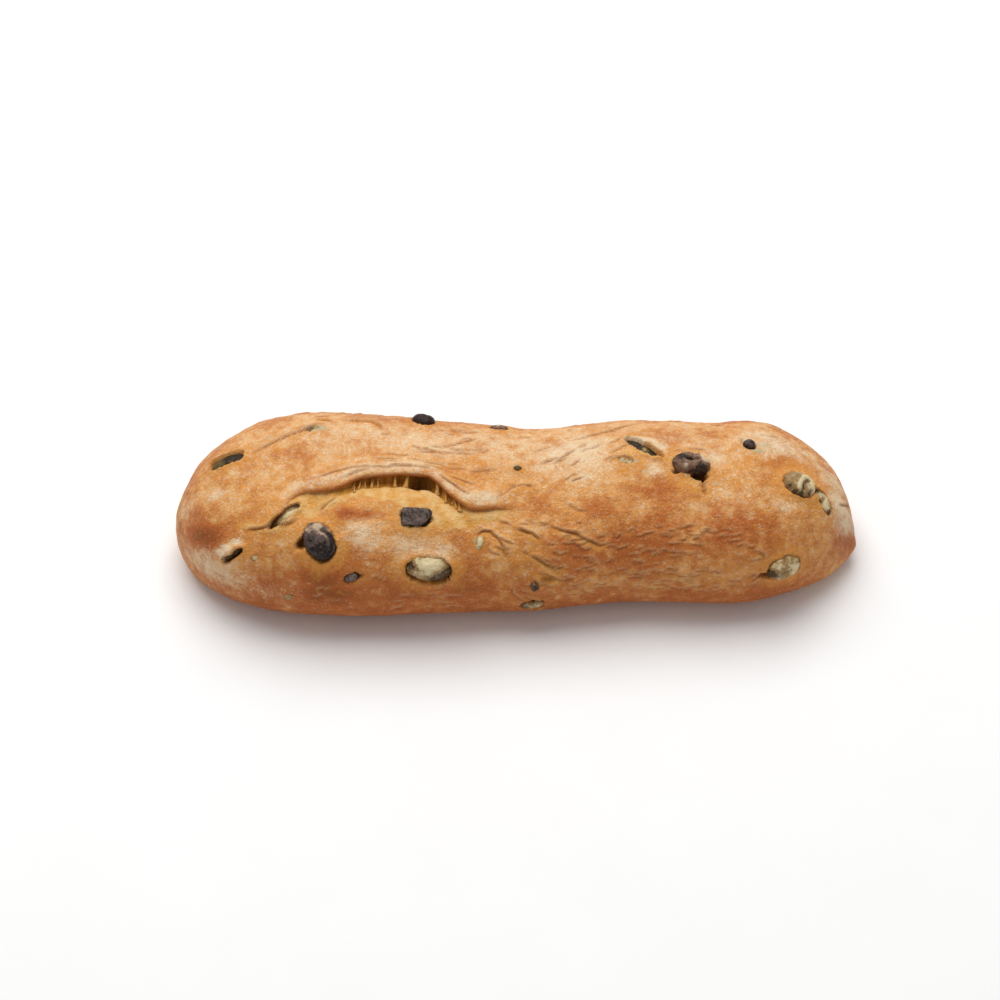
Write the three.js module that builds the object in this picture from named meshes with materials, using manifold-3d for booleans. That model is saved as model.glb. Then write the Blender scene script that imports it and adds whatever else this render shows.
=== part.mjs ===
// An olive ciabatta: a long hand-shaped loaf, split along its crown, with pieces of olive baked
// into pockets in the crust. Units are millimetres. X runs along the loaf, -Y is its front, +Z is
// up, and the loaf stands on its flat underside at Z = 0.
//
// A place on the crust is (x, turn): x is the distance along the loaf from its middle, and turn
// is the angle round the section, with 0 at the front, 90 at the crown, 180 at the back and 270
// underneath.
import * as THREE from "three";
import { mergeVertices } from "three/addons/utils/BufferGeometryUtils.js";
import Module from "manifold-3d";

// Driving dimensions of the loaf.
const LENGTH = 272;
const HALF = LENGTH / 2;
const CAP_LEFT = 56; // how far the rounding of each end reaches along the loaf
const CAP_RIGHT = 50;
const CAP_UNDER = 14; // the same for the underside, which stays flat almost to the tips
const TIP_LEFT = 15; // height of each tip above the table
const TIP_RIGHT = 8;
const WIDEST = 0.4; // height of the widest level, as a share of the crown's height
const ROUND_UP = 2.15; // squareness of the section above and below the widest level: 2 is an ellipse
const ROUND_DOWN = 2.8;
const SQUASHED = 1.07; // how much further the underside would bulge if the table didn't flatten it

// The loaf's hand-shaped profile at a few stations: [x, reach to the front, reach to the back, height].
const STATIONS = [
  [-135, 42, 45, 51],
  [-95, 43, 45, 53],
  [-60, 44.5, 44, 53],
  [-25, 42.5, 40.5, 51.5],
  [10, 40.5, 37, 50.5],
  [45, 37, 40.5, 52.5],
  [80, 37, 40.5, 50.5],
  [135, 31, 47, 50],
];

// The split: the line of its lip as [x, turn], and how it opens from its two ends.
const SPLIT_LINE = [
  [-136, 50],
  [-98, 38],
  [-84, 61],
  [-75, 65.3],
  [-68, 69],
  [-60, 76.7],
  [-50, 80],
  [-42, 81],
  [-34.5, 80.3],
  [-31, 76],
  [-27, 68],
  [-22, 60.6],
  [-18, 56.6],
  [-8, 56.8],
  [0.5, 53.5],
  [30, 56],
  [136, 60],
];
const SPLIT_STARTS = [-98, -74];
const SPLIT_ENDS = [-32, -8];
// The split's section, from the front crust over the torn crumb, under the lip and out over its
// top: [row's own place, distance behind the lip line, height above the crust].
const SPLIT_SECTION = [
  [-22, -22, 0],
  [-14, -14, -0.6],
  [-9, -9.5, -1.8],
  [-5, -6, -2.6],
  [-3, -4, -4.2],
  [-1.5, -0.5, -4.6],
  [0.5, 1.6, -3],
  [2.5, 0.8, -0.9],
  [4, -0.8, 0.4],
  [5.5, -0.6, 1.6],
  [9, 5, 1.9],
  [16, 16, 0],
];
const MM_PER_DEGREE = 0.72; // arc length along the crown for one degree of turn
const SPLIT_MEAN = 65; // the turn that the rows are counted from
const ROWS_FOLLOW = [30, 150]; // rows nearer than the first follow the split; past the last they run straight
const TABLE_SIDE = -0.35; // the crust faces the table where the sine of its turn is under this

// How finely the crust is faceted.
const RINGS = 60;
const SECTORS = 36;
const GAP = 0.35; // clearance between an olive and its pocket
const WELL = 14; // how far a pocket's mouth is cut above the middle of its olive

// The olives. at is [x, turn], half holds half the length, breadth and depth, spin turns the
// length away from the loaf's own, lift raises the middle above the crust, square is 2 for a
// rounded piece and more for a cut one, and curl is the radius that a curved slice bends to.
const OLIVES = {
  olive_left_shoulder: { at: [-114, 105.5], half: [8, 3.6, 3.6], spin: -6, lift: -3.2, square: 2.4 },
  olive_left_crest: { at: [-77, 120], half: [5.6, 4.2, 3.6], spin: 10, lift: -2.2, square: 2 },
  olive_back_crest: { at: [-37, 138.5], half: [4.7, 3.4, 3], spin: -16, lift: 0.2, square: 2.2 },
  olive_back_sliver: { at: [-6.7, 137.5], half: [3.6, 1.7, 2.2], spin: -8, lift: -0.6, square: 2.4 },
  olive_green_sliver: { at: [-89.5, 48.5], half: [7.4, 3, 3.4], spin: 41, lift: -2, square: 2.2 },
  olive_black_curl: { at: [-75.8, 35], half: [7.6, 5.6, 4.6], spin: -58, lift: -0.4, square: 2.2, curl: 11 },
  olive_split_chunk: { at: [-38.8, 49.5], half: [6.3, 4, 3.6], spin: 2, lift: -0.5, square: 3.6 },
  olive_left_sliver: { at: [-110.6, 27], half: [5.8, 2.4, 3], spin: 34, lift: -1.6, square: 2.2 },
  olive_front_bit: { at: [-63.5, 16.5], half: [3, 1.7, 2.2], spin: 22, lift: -0.8, square: 2.4 },
  olive_front_bulge: { at: [-33.8, 22], half: [9.2, 5.4, 5], spin: -4, lift: -1.4, square: 2.1 },
  olive_front_foot: { at: [6.2, -6], half: [4.6, 2.3, 2.6], spin: 4, lift: -0.9, square: 2.2 },
  olive_right_slit: { at: [49, 100.5], half: [8, 3.6, 3.6], spin: -38, lift: -2.6, square: 2.4 },
  olive_right_crown: { at: [68, 86.5], half: [7.2, 4.4, 4.6], spin: -4, lift: 0.2, square: 2.5, curl: 16 },
  olive_right_back: { at: [91.6, 107.5], half: [2.4, 2.2, 2.4], spin: 0, lift: -0.4, square: 2 },
  olive_right_shoulder: { at: [110.2, 72], half: [6.8, 5.2, 4.4], spin: -14, lift: -0.5, square: 2.3, curl: 14 },
  olive_right_strip: { at: [119.6, 62.5], half: [5.6, 2.2, 3], spin: -48, lift: -0.8, square: 2.3 },
  olive_crown_speck: { at: [0.4, 90], half: [1.9, 1.4, 1.7], spin: 0, lift: -0.3, square: 2 },
  olive_front_speck: { at: [7, 8.8], half: [1.6, 2.1, 2], spin: 20, lift: -0.5, square: 2.2 },
  olive_right_front: { at: [104, 13.5], half: [7.2, 4.9, 4.6], spin: 14, lift: -1.2, square: 2.1 },
  olive_crown_patch: { at: [42.6, 88.5], half: [4.4, 2.4, 2.2], spin: -20, lift: -1.2, square: 2.2 },
  olive_crease_sliver: { at: [-14.2, 35.6], half: [2.9, 1.3, 1.8], spin: 76, lift: -0.8, square: 2.2 },
  olive_left_speck: { at: [-101, 24.5], half: [1.7, 1.4, 1.6], spin: 40, lift: -0.3, square: 2 },
  olive_foot_speck: { at: [-88.5, 2], half: [2.2, 1.5, 1.7], spin: 0, lift: -0.4, square: 2 },
  olive_back_left: { at: [-97, 186], half: [6.4, 4.2, 4], spin: 24, lift: -0.8, square: 2.2 },
  olive_back_low: { at: [-58, 174], half: [5, 3.4, 3.4], spin: -30, lift: -1, square: 2.4 },
  olive_back_middle: { at: [-20, 184], half: [7.4, 4.6, 4.4], spin: 12, lift: -0.8, square: 2.3, curl: 15 },
  olive_back_chunk: { at: [26, 181], half: [5.6, 4, 3.6], spin: -18, lift: -0.9, square: 3.4 },
  olive_back_right: { at: [60, 180], half: [6.8, 4.6, 4.2], spin: 32, lift: -0.8, square: 2.1 },
  olive_back_tip: { at: [101, 188], half: [5.6, 3.2, 3.4], spin: -26, lift: -1, square: 2.3 },
};
const BARE_BIT = 3; // an olive shorter than twice this needs fewer facets
const MOUND = 1.1; // how far the crust swells over and round an olive
const MOUND_REACH = 1.7; // the swelling's reach, in half lengths of its olive

const rad = THREE.MathUtils.degToRad;
const { clamp, smoothstep, lerp } = THREE.MathUtils;

// A smooth curve through [x, value] points: cubic pieces, each point's slope that of the chord
// between its two neighbours.
function curveThrough(points, column = 1) {
  const slopes = points.map((_, i) => {
    const before = points[Math.max(i - 1, 0)];
    const after = points[Math.min(i + 1, points.length - 1)];
    return (after[column] - before[column]) / (after[0] - before[0]);
  });
  return (x) => {
    const last = points.length - 2;
    const next = points.findIndex((p) => p[0] > x);
    const i = clamp(next < 0 ? last : next - 1, 0, last);
    const span = points[i + 1][0] - points[i][0];
    const t = clamp((x - points[i][0]) / span, 0, 1);
    const t2 = t * t;
    const t3 = t2 * t;
    return (
      (2 * t3 - 3 * t2 + 1) * points[i][column] +
      (t3 - 2 * t2 + t) * span * slopes[i] +
      (3 * t2 - 2 * t3) * points[i + 1][column] +
      (t3 - t2) * span * slopes[i + 1]
    );
  };
}

const reachFront = curveThrough(STATIONS, 1);
const reachBack = curveThrough(STATIONS, 2);
const crownHeight = curveThrough(STATIONS, 3);
const splitTurn = curveThrough(SPLIT_LINE);

// A quarter ellipse that rises from 0 at a tip to 1 where the end's rounding is over.
function rounding(fromTip, reach) {
  const t = clamp(fromTip / reach, 0, 1);
  return Math.sqrt(1 - (1 - t) ** 2);
}

// The section at x: its centre line, half width, widest level, and rise and drop from there.
function sectionAt(x) {
  const left = x + HALF;
  const right = HALF - x;
  const full = rounding(left, CAP_LEFT) * rounding(right, CAP_RIGHT);
  const under = rounding(left, CAP_UNDER) * rounding(right, CAP_UNDER);
  const front = reachFront(x) * full;
  const back = reachBack(x) * full;
  const height = crownHeight(x);
  const tip = x < 0 ? TIP_LEFT : TIP_RIGHT;
  const top = tip + (height - tip) * full;
  const level = tip + (WIDEST * height - tip) * full ** 2;
  return {
    middle: (back - front) / 2,
    half: (front + back) / 2,
    level,
    rise: top - level,
    drop: (level - tip * (1 - under)) * SQUASHED,
  };
}

// The plain crust: a superellipse section, squarer below, and pressed flat on the table.
function plainCrust(x, turn) {
  const s = sectionAt(x);
  const c = Math.cos(rad(turn));
  const n = Math.sin(rad(turn));
  const power = n >= 0 ? ROUND_UP : ROUND_DOWN;
  const height = Math.max(n >= 0 ? s.rise : s.drop, 1e-4);
  const half = Math.max(s.half, 1e-4);
  const r = (Math.abs(c / half) ** power + Math.abs(n / height) ** power) ** (-1 / power);
  return new THREE.Vector3(x, s.middle - r * c, Math.max(s.level + r * n, 0));
}

// Directions on the plain crust: out of it, along the loaf, and across it towards the crown.
function crustFrame(x, turn) {
  const step = 0.5;
  const inside = clamp(x, -HALF + 2 * step, HALF - 2 * step);
  const along = plainCrust(inside + step, turn).sub(plainCrust(inside - step, turn)).normalize();
  const across = plainCrust(inside, turn + step).sub(plainCrust(inside, turn - step));
  const out = new THREE.Vector3().crossVectors(along, across).normalize();
  return { out, along, across: new THREE.Vector3().crossVectors(out, along) };
}

// How far the crust stands up over the olives beneath it.
function swelling(x, turn) {
  let height = 0;
  for (const { at, half } of Object.values(OLIVES)) {
    const away = Math.hypot(x - at[0], (turn - at[1]) * MM_PER_DEGREE) / (half[0] * MOUND_REACH);
    height += MOUND * Math.exp(-away * away) * Math.min(half[0] / 6, 1);
  }
  return Math.min(height, 1.6 * MOUND);
}

// The turn of a row at x. row counts degrees from the split's line, which the rows near it follow.
function turnOfRow(x, row) {
  const away = Math.min(Math.abs(row), 360 - Math.abs(row));
  const follows = 1 - smoothstep(away, ...ROWS_FOLLOW);
  return SPLIT_MEAN + row + (splitTurn(x) - SPLIT_MEAN) * follows;
}

// The crust with its split: rows near the line run down into the split and out over its lip.
const splitBehind = curveThrough(SPLIT_SECTION, 1);
const splitHeight = curveThrough(SPLIT_SECTION, 2);
function splitCrust(x, row) {
  const open = smoothstep(x, ...SPLIT_STARTS) * (1 - smoothstep(x, ...SPLIT_ENDS));
  const place = row * MM_PER_DEGREE;
  const within = place > SPLIT_SECTION[0][0] && place < SPLIT_SECTION.at(-1)[0];
  const behind = within ? lerp(place, splitBehind(place), open) : place;
  const turn = turnOfRow(x, behind / MM_PER_DEGREE);
  const raised = within ? splitHeight(place) * open : 0;
  const swollen = swelling(x, ((turn + 90) % 360) - 90) * (within ? 1 - open : 1);
  const point = plainCrust(x, turn);
  if (Math.sin(rad(turn)) > TABLE_SIDE) {
    point.addScaledVector(crustFrame(x, turn).out, raised + swollen);
  }
  point.z = Math.max(point.z, 0);
  return point;
}

// Rows round the section, in degrees from the split's line: close together across the split and
// evenly spaced over the rest.
function rowAngles() {
  const split = SPLIT_SECTION.map((p) => p[0] / MM_PER_DEGREE);
  const first = split[0] + 360;
  const last = split.at(-1);
  const rest = SECTORS - split.length + 1;
  const far = Array.from({ length: rest - 1 }, (_, i) => last + ((first - last) * (i + 1)) / rest);
  return [...split, ...far, first];
}

// The loaf's closed surface: a sphere's grid, its poles at the tips, laid onto the crust.
function loafGeometry() {
  const rows = rowAngles();
  const grid = new THREE.SphereGeometry(1, rows.length - 1, RINGS);
  const uv = grid.getAttribute("uv");
  const position = grid.getAttribute("position");
  for (let i = 0; i < position.count; i++) {
    const x = HALF * Math.cos(Math.PI * uv.getY(i));
    const atTip = Math.abs(x) > HALF - 1e-6;
    const column = clamp(Math.round(uv.getX(i) * (rows.length - 1)), 0, rows.length - 1);
    const point = atTip ? plainCrust(Math.sign(x) * HALF, 0) : splitCrust(x, rows[column]);
    position.setXYZ(i, point.x, point.y, point.z);
  }
  return grid;
}

// A piece of olive, in its own frame: a superellipsoid, bent round its breadth if it curls.
// mouth, if given, stretches its outer half to cut a well down to it.
function oliveGeometry({ half, square, curl }, grow = 0, mouth = 0) {
  const small = half[0] <= BARE_BIT;
  const grid = small ? new THREE.SphereGeometry(1, 8, 5) : new THREE.SphereGeometry(1, 10, 7);
  const position = grid.getAttribute("position");
  const size = half.map((h) => h + grow);
  for (let i = 0; i < position.count; i++) {
    const d = new THREE.Vector3().fromBufferAttribute(position, i);
    const r = d.toArray().reduce((sum, v) => sum + Math.abs(v) ** square, 0) ** (-1 / square);
    const [x, z, y] = [d.x * r * size[0], d.y * r, -d.z * r * size[1]];
    const depth = z > 0 && mouth ? mouth : size[2];
    const bend = curl ? x / curl : 0;
    const fall = curl ? curl * (1 - Math.cos(bend)) : 0;
    position.setXYZ(i, curl ? curl * Math.sin(bend) : x, y, z * depth - fall);
  }
  return grid;
}

// Lays an olive's frame on the crust: X along its length, Y across it, Z out of the loaf.
function placeOnCrust(object, { at, spin, lift }) {
  const { out, along, across } = crustFrame(...at);
  const turned = new THREE.Matrix4().makeBasis(along, across, out);
  object.quaternion.setFromRotationMatrix(turned);
  object.rotateZ(rad(spin));
  object.position.copy(plainCrust(...at)).addScaledVector(out, lift + MOUND * 0.5);
  object.updateMatrixWorld(true);
  return object;
}

const wasm = await Module();
wasm.setup();

// A closed geometry, moved by a matrix, as a solid that can be cut.
function solidOf(geometry, matrix = new THREE.Matrix4()) {
  const bare = geometry.clone().deleteAttribute("normal").deleteAttribute("uv");
  const merged = mergeVertices(bare.applyMatrix4(matrix), 1e-4);
  return new wasm.Manifold(
    new wasm.Mesh({
      numProp: 3,
      vertProperties: merged.getAttribute("position").array,
      triVerts: new Uint32Array(merged.index.array),
    }),
  );
}

function geometryOf(solid) {
  const mesh = solid.getMesh();
  return new THREE.BufferGeometry()
    .setAttribute("position", new THREE.BufferAttribute(mesh.vertProperties, 3))
    .setIndex(new THREE.BufferAttribute(mesh.triVerts, 1));
}

// The crust, with a pocket cut for each olive.
function loafWithPockets() {
  return Object.values(OLIVES).reduce((loaf, olive) => {
    const pocket = placeOnCrust(new THREE.Object3D(), olive);
    return loaf.subtract(solidOf(oliveGeometry(olive, GAP, WELL), pocket.matrixWorld));
  }, solidOf(loafGeometry()));
}

const crust = new THREE.MeshStandardMaterial({ color: 0xc8824a, roughness: 0.85, metalness: 0 });
const blackOlive = new THREE.MeshStandardMaterial({ color: 0x3a2c2c, roughness: 0.45, metalness: 0 });
const greenOlive = new THREE.MeshStandardMaterial({ color: 0x8d8560, roughness: 0.55, metalness: 0 });
const BLACK = [
  "olive_back_crest",
  "olive_black_curl",
  "olive_split_chunk",
  "olive_front_bit",
  "olive_right_crown",
  "olive_right_back",
  "olive_back_low",
  "olive_back_chunk",
  "olive_back_middle",
];

const ciabatta = new THREE.Group();

const loaf = new THREE.Mesh(geometryOf(loafWithPockets()), crust);
loaf.name = "loaf";
ciabatta.add(loaf);

for (const [name, olive] of Object.entries(OLIVES)) {
  const piece = new THREE.Mesh(oliveGeometry(olive), BLACK.includes(name) ? blackOlive : greenOlive);
  piece.name = name;
  ciabatta.add(placeOnCrust(piece, olive));
}

// The origin is under the middle of the loaf, on the table.
const box = new THREE.Box3().setFromObject(ciabatta);
const middle = box.getCenter(new THREE.Vector3());
ciabatta.position.set(-middle.x, -middle.y, -box.min.z);

export default ciabatta;
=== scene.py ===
import math

import bpy
import numpy as np
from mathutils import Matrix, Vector


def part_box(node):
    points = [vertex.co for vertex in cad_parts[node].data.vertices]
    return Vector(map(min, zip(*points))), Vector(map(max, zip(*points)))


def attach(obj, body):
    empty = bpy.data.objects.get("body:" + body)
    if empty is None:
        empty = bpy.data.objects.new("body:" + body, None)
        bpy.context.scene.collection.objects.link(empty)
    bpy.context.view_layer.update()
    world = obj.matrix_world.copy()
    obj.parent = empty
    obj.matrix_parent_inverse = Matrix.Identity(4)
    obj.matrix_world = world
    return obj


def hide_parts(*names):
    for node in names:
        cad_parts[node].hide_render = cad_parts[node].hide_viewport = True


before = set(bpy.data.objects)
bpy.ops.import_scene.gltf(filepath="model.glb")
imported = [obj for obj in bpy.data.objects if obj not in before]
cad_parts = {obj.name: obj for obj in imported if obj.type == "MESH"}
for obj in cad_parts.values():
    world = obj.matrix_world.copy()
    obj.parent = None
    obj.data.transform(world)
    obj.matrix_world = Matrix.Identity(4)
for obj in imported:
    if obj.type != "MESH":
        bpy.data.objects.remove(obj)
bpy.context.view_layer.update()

# An olive ciabatta. Lengths are millimetres until a mesh is made, and angles are degrees.
# A place on the crust is (x, turn): x runs along the loaf from its middle, and turn goes round
# the section, with 0 at the front, 90 at the crown, 180 at the back and 270 underneath.
MM = 0.001

# ---------------------------------------------------------------- the loaf's plain form

HALF = 136  # half the length
CAP_LEFT = 56  # how far the rounding of each end reaches in from its tip
CAP_RIGHT = 50
CAP_UNDER = 14  # the same where the ends lift off the table
TIP_LEFT = 15  # height of each tip
TIP_RIGHT = 8
WIDEST = 0.4  # level of the widest place, as a share of the height
ROUND_UP = 2.15  # power of the section's curve above that level and below it, 2 for an ellipse
ROUND_DOWN = 2.8
SQUASHED = 1.07  # how far the section would reach down if the table weren't there
# (x, reach to the front, reach to the back, height)
STATIONS = [
    (-135, 42, 45, 51),
    (-95, 43, 45, 53),
    (-60, 44.5, 44, 53),
    (-25, 42.5, 40.5, 51.5),
    (10, 40.5, 37, 50.5),
    (45, 37, 40.5, 52.5),
    (80, 37, 40.5, 50.5),
    (135, 31, 47, 50),
]

# The split along the crown: the line of its lip as (x, turn), and where it opens from and to.
SPLIT_LINE = [
    (-136, 50),
    (-98, 38),
    (-84, 61),
    (-75, 65.3),
    (-68, 69),
    (-60, 76.7),
    (-50, 80),
    (-42, 81),
    (-34.5, 80.3),
    (-31, 76),
    (-27, 68),
    (-22, 60.6),
    (-18, 56.6),
    (-8, 56.8),
    (0.5, 53.5),
    (30, 56),
    (136, 60),
]
SPLIT_STARTS = (-98, -74)
SPLIT_ENDS = (-12, 4)
# Its section where it gapes, from the front crust over the torn crumb, under the lip and out over
# its top, and its section where the lip lies closed on the crumb:
# (row's own place, distance behind the lip line, height above the crust)
GAPING_SECTION = [
    (-22, -22, 0),
    (-14, -14, -0.5),
    (-9, -9.5, -1.8),
    (-5, -6, -2.6),
    (-3, -4, -4.2),
    (-1.5, -0.5, -4.6),
    (0.5, 1.6, -3),
    (2.5, 0.6, -1.2),
    (4, -1, 0),
    (5.5, -0.7, 1.3),
    (7, 1, 2),
    (9, 4.4, 2),
    (16, 16, 0),
]
CLOSED_SECTION = [
    (-22, -22, 0),
    (-14, -14, -0.3),
    (-9, -9, -1),
    (-5, -5, -0.9),
    (-2, -1.9, -0.8),
    (0.5, 0.1, -0.9),
    (2.5, 0.1, -0.5),
    (4, -0.7, 0.3),
    (5.5, 0.6, 1.2),
    (9, 6, 1.6),
    (16, 16, 0),
]
# How far the split gapes along its length, 0 shut and 1 as its gaping section: (x, gape). And the
# front edge of the crumb it bares: (x, turn).
GAPE = [
    (-98, 0),
    (-76, 0.05),
    (-68, 0.25),
    (-64, 0.45),
    (-59, 0.75),
    (-52, 0.88),
    (-45, 1),
    (-38, 1.1),
    (-32, 0.85),
    (-29.5, 0.68),
    (-25.5, 0.42),
    (-21.5, 0.2),
    (-17, 0.06),
    (-10, 0),
    (2, 0),
]
CRUMB_EDGE = [
    (-98, 36),
    (-92, 41),
    (-83, 46),
    (-72, 54),
    (-64, 62),
    (-52, 61),
    (-45, 57),
    (-38, 48),
    (-28, 43),
    (-18, 44),
    (-6, 49),
    (4, 53),
]
# The split's deepest stretch, and the narrow notch in its floor: middle and reach along the loaf.
CAVE = (-36.8, 5.2)
NOTCH = (-38, 1.2)
BRINK = -3.6  # the place where the crumb's back edge drops into the hollow, away from the cave
MM_PER_DEGREE = 0.72  # along the crust, for one degree of turn
SPLIT_MEAN = 65  # the turn that rows are counted from
ROWS_FOLLOW = (30, 150)  # rows nearer than the first follow the split, past the last none does

# The olives. at is the middle's place, half holds half the length, breadth and depth, spin turns the
# length away from the loaf's own, lift raises the middle above the crust, and square is the power of
# the form's curve, 2 for a rounded piece and more for a cut one.
OLIVES = {
    "olive_left_shoulder": dict(at=(-114, 105.5), half=(8, 3.6, 3.6), spin=-6, lift=-3.2, square=2.4),
    "olive_left_crest": dict(at=(-77, 120), half=(5.6, 4.2, 3.6), spin=10, lift=-2.2, square=2),
    "olive_back_crest": dict(at=(-37, 138.5), half=(4.7, 3.4, 3), spin=-16, lift=0.2, square=2.2),
    "olive_back_sliver": dict(at=(-6.7, 137.5), half=(3.6, 1.7, 2.2), spin=-8, lift=-0.6, square=2.4),
    "olive_green_sliver": dict(at=(-89.5, 48.5), half=(7.4, 3, 3.4), spin=41, lift=-2, square=2.2),
    "olive_black_curl": dict(at=(-75.8, 35), half=(7.6, 5.6, 4.6), spin=-58, lift=-0.4, square=2.2),
    "olive_split_chunk": dict(at=(-38.8, 49.5), half=(6.3, 4, 3.6), spin=2, lift=-0.5, square=3.6),
    "olive_left_sliver": dict(at=(-110.6, 27), half=(5.8, 2.4, 3), spin=34, lift=-1.6, square=2.2),
    "olive_front_bit": dict(at=(-63.5, 16.5), half=(3, 1.7, 2.2), spin=22, lift=-0.8, square=2.4),
    "olive_front_bulge": dict(at=(-33.8, 22), half=(9.2, 5.4, 5), spin=-4, lift=-1.4, square=2.1),
    "olive_front_foot": dict(at=(6.2, -6), half=(4.6, 2.3, 2.6), spin=4, lift=-0.9, square=2.2),
    "olive_right_slit": dict(at=(49, 100.5), half=(8, 3.6, 3.6), spin=-38, lift=-2.6, square=2.4),
    "olive_right_crown": dict(at=(68, 86.5), half=(7.2, 4.4, 4.6), spin=-4, lift=0.2, square=2.5),
    "olive_right_back": dict(at=(91.6, 107.5), half=(2.4, 2.2, 2.4), spin=0, lift=-0.4, square=2),
    "olive_right_shoulder": dict(at=(110.2, 72), half=(6.8, 5.2, 4.4), spin=-14, lift=-0.5, square=2.3),
    "olive_right_strip": dict(at=(119.6, 62.5), half=(5.6, 2.2, 3), spin=-48, lift=-0.8, square=2.3),
    "olive_crown_speck": dict(at=(0.4, 90), half=(1.9, 1.4, 1.7), spin=0, lift=-0.3, square=2),
    "olive_front_speck": dict(at=(7, 8.8), half=(1.6, 2.1, 2), spin=20, lift=-0.5, square=2.2),
    "olive_right_front": dict(at=(104, 13.5), half=(7.2, 4.9, 4.6), spin=14, lift=-1.2, square=2.1),
    "olive_crown_patch": dict(at=(42.6, 88.5), half=(4.4, 2.4, 2.2), spin=-20, lift=-1.2, square=2.2),
    "olive_crease_sliver": dict(at=(-14.2, 35.6), half=(2.9, 1.3, 1.8), spin=76, lift=-0.8, square=2.2),
    "olive_left_speck": dict(at=(-101, 24.5), half=(1.7, 1.4, 1.6), spin=40, lift=-0.3, square=2),
    "olive_foot_speck": dict(at=(-88.5, 2), half=(2.2, 1.5, 1.7), spin=0, lift=-0.4, square=2),
    "olive_back_left": dict(at=(-97, 186), half=(6.4, 4.2, 4), spin=24, lift=-0.8, square=2.2),
    "olive_back_low": dict(at=(-58, 174), half=(5, 3.4, 3.4), spin=-30, lift=-1, square=2.4),
    "olive_back_middle": dict(at=(-20, 184), half=(7.4, 4.6, 4.4), spin=12, lift=-0.8, square=2.3),
    "olive_back_chunk": dict(at=(26, 181), half=(5.6, 4, 3.6), spin=-18, lift=-0.9, square=3.4),
    "olive_back_right": dict(at=(60, 180), half=(6.8, 4.6, 4.2), spin=32, lift=-0.8, square=2.1),
    "olive_back_tip": dict(at=(101, 188), half=(5.6, 3.2, 3.4), spin=-26, lift=-1, square=2.3),
}
MOUND = 1.1  # how far the crust swells over and round an olive
MOUND_REACH = 1.7  # the swelling's reach, in half lengths of its olive
MOUND_MOST = 1.6  # the most that neighbouring swellings add up to, in mounds
BARE_BIT = 6  # an olive shorter than twice this swells the crust less


def smooth(value, low, high):
    """0 below low, 1 above high, and the S curve 3t² - 2t³ between them."""
    t = np.clip((value - low) / (high - low), 0, 1)
    return t * t * (3 - 2 * t)


def bell(value, width):
    """1 at 0, falling off on both sides as exp(-(value / width)²)."""
    return np.exp(-((value / width) ** 2))


def curve_through(points, column=1):
    """A function of x: cubic pieces through the points, with the slope at each point that of the
    chord between its neighbours."""
    table = np.array(points, float)
    places, values = table[:, 0], table[:, column]
    before = np.maximum(np.arange(len(table)) - 1, 0)
    after = np.minimum(np.arange(len(table)) + 1, len(table) - 1)
    slopes = (values[after] - values[before]) / (places[after] - places[before])

    def at(x):
        i = np.clip(np.searchsorted(places, x, side="right") - 1, 0, len(table) - 2)
        span = places[i + 1] - places[i]
        t = np.clip((x - places[i]) / span, 0, 1)
        return (
            (2 * t**3 - 3 * t**2 + 1) * values[i]
            + (t**3 - 2 * t**2 + t) * span * slopes[i]
            + (3 * t**2 - 2 * t**3) * values[i + 1]
            + (t**3 - t**2) * span * slopes[i + 1]
        )

    return at


reach_front = curve_through(STATIONS, 1)
reach_back = curve_through(STATIONS, 2)
crown_height = curve_through(STATIONS, 3)
split_turn = curve_through(SPLIT_LINE)
gape = curve_through(GAPE)
crumb_edge = curve_through(CRUMB_EDGE)


def rounding(from_tip, reach):
    """A quarter ellipse that rises from 0 at a tip to 1 where the end's rounding is over."""
    return np.sqrt(1 - (1 - np.clip(from_tip / reach, 0, 1)) ** 2)


def plain_crust(x, turn):
    """Points of the plain crust: a superellipse section, squarer below, pressed flat on the table.

    r = (|cos / half|^p + |sin / height|^p)^(-1/p) from the section's widest level.
    """
    full = rounding(x + HALF, CAP_LEFT) * rounding(HALF - x, CAP_RIGHT)
    under = rounding(x + HALF, CAP_UNDER) * rounding(HALF - x, CAP_UNDER)
    front, back, height = reach_front(x) * full, reach_back(x) * full, crown_height(x)
    tip = np.where(x < 0, TIP_LEFT, TIP_RIGHT)
    top = tip + (height - tip) * full
    level = tip + (WIDEST * height - tip) * full**2
    drop = (level - tip * (1 - under)) * SQUASHED
    c, n = np.cos(np.radians(turn)), np.sin(np.radians(turn))
    power = np.where(n >= 0, ROUND_UP, ROUND_DOWN)
    tall = np.maximum(np.where(n >= 0, top - level, drop), 1e-4)
    half = np.maximum((front + back) / 2, 1e-4)
    r = (np.abs(c / half) ** power + np.abs(n / tall) ** power) ** (-1 / power)
    return np.stack([x + 0 * r, (back - front) / 2 - r * c, np.maximum(level + r * n, 0)], -1)


def unit(vectors):
    return vectors / np.maximum(np.linalg.norm(vectors, axis=-1, keepdims=True), 1e-9)


def crust_frame(x, turn):
    """Unit directions on the plain crust: out of it, along the loaf, and across it, the way that
    turn grows."""
    step = 0.5
    inside = np.clip(x, -HALF + 2 * step, HALF - 2 * step)
    along = unit(plain_crust(inside + step, turn) - plain_crust(inside - step, turn))
    across = plain_crust(inside, turn + step) - plain_crust(inside, turn - step)
    out = unit(np.cross(along, across))
    return out, along, np.cross(out, along)


def olive_frame(olive):
    """An olive's middle and its length, breadth and outward directions, laid on the crust."""
    x, turn = (np.array(float(v)) for v in olive["at"])
    out, along, across = crust_frame(x, turn)
    c, s = math.cos(math.radians(olive["spin"])), math.sin(math.radians(olive["spin"]))
    middle = plain_crust(x, turn) + out * (olive["lift"] + MOUND * 0.5)
    return middle, c * along + s * across, c * across - s * along, out


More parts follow.
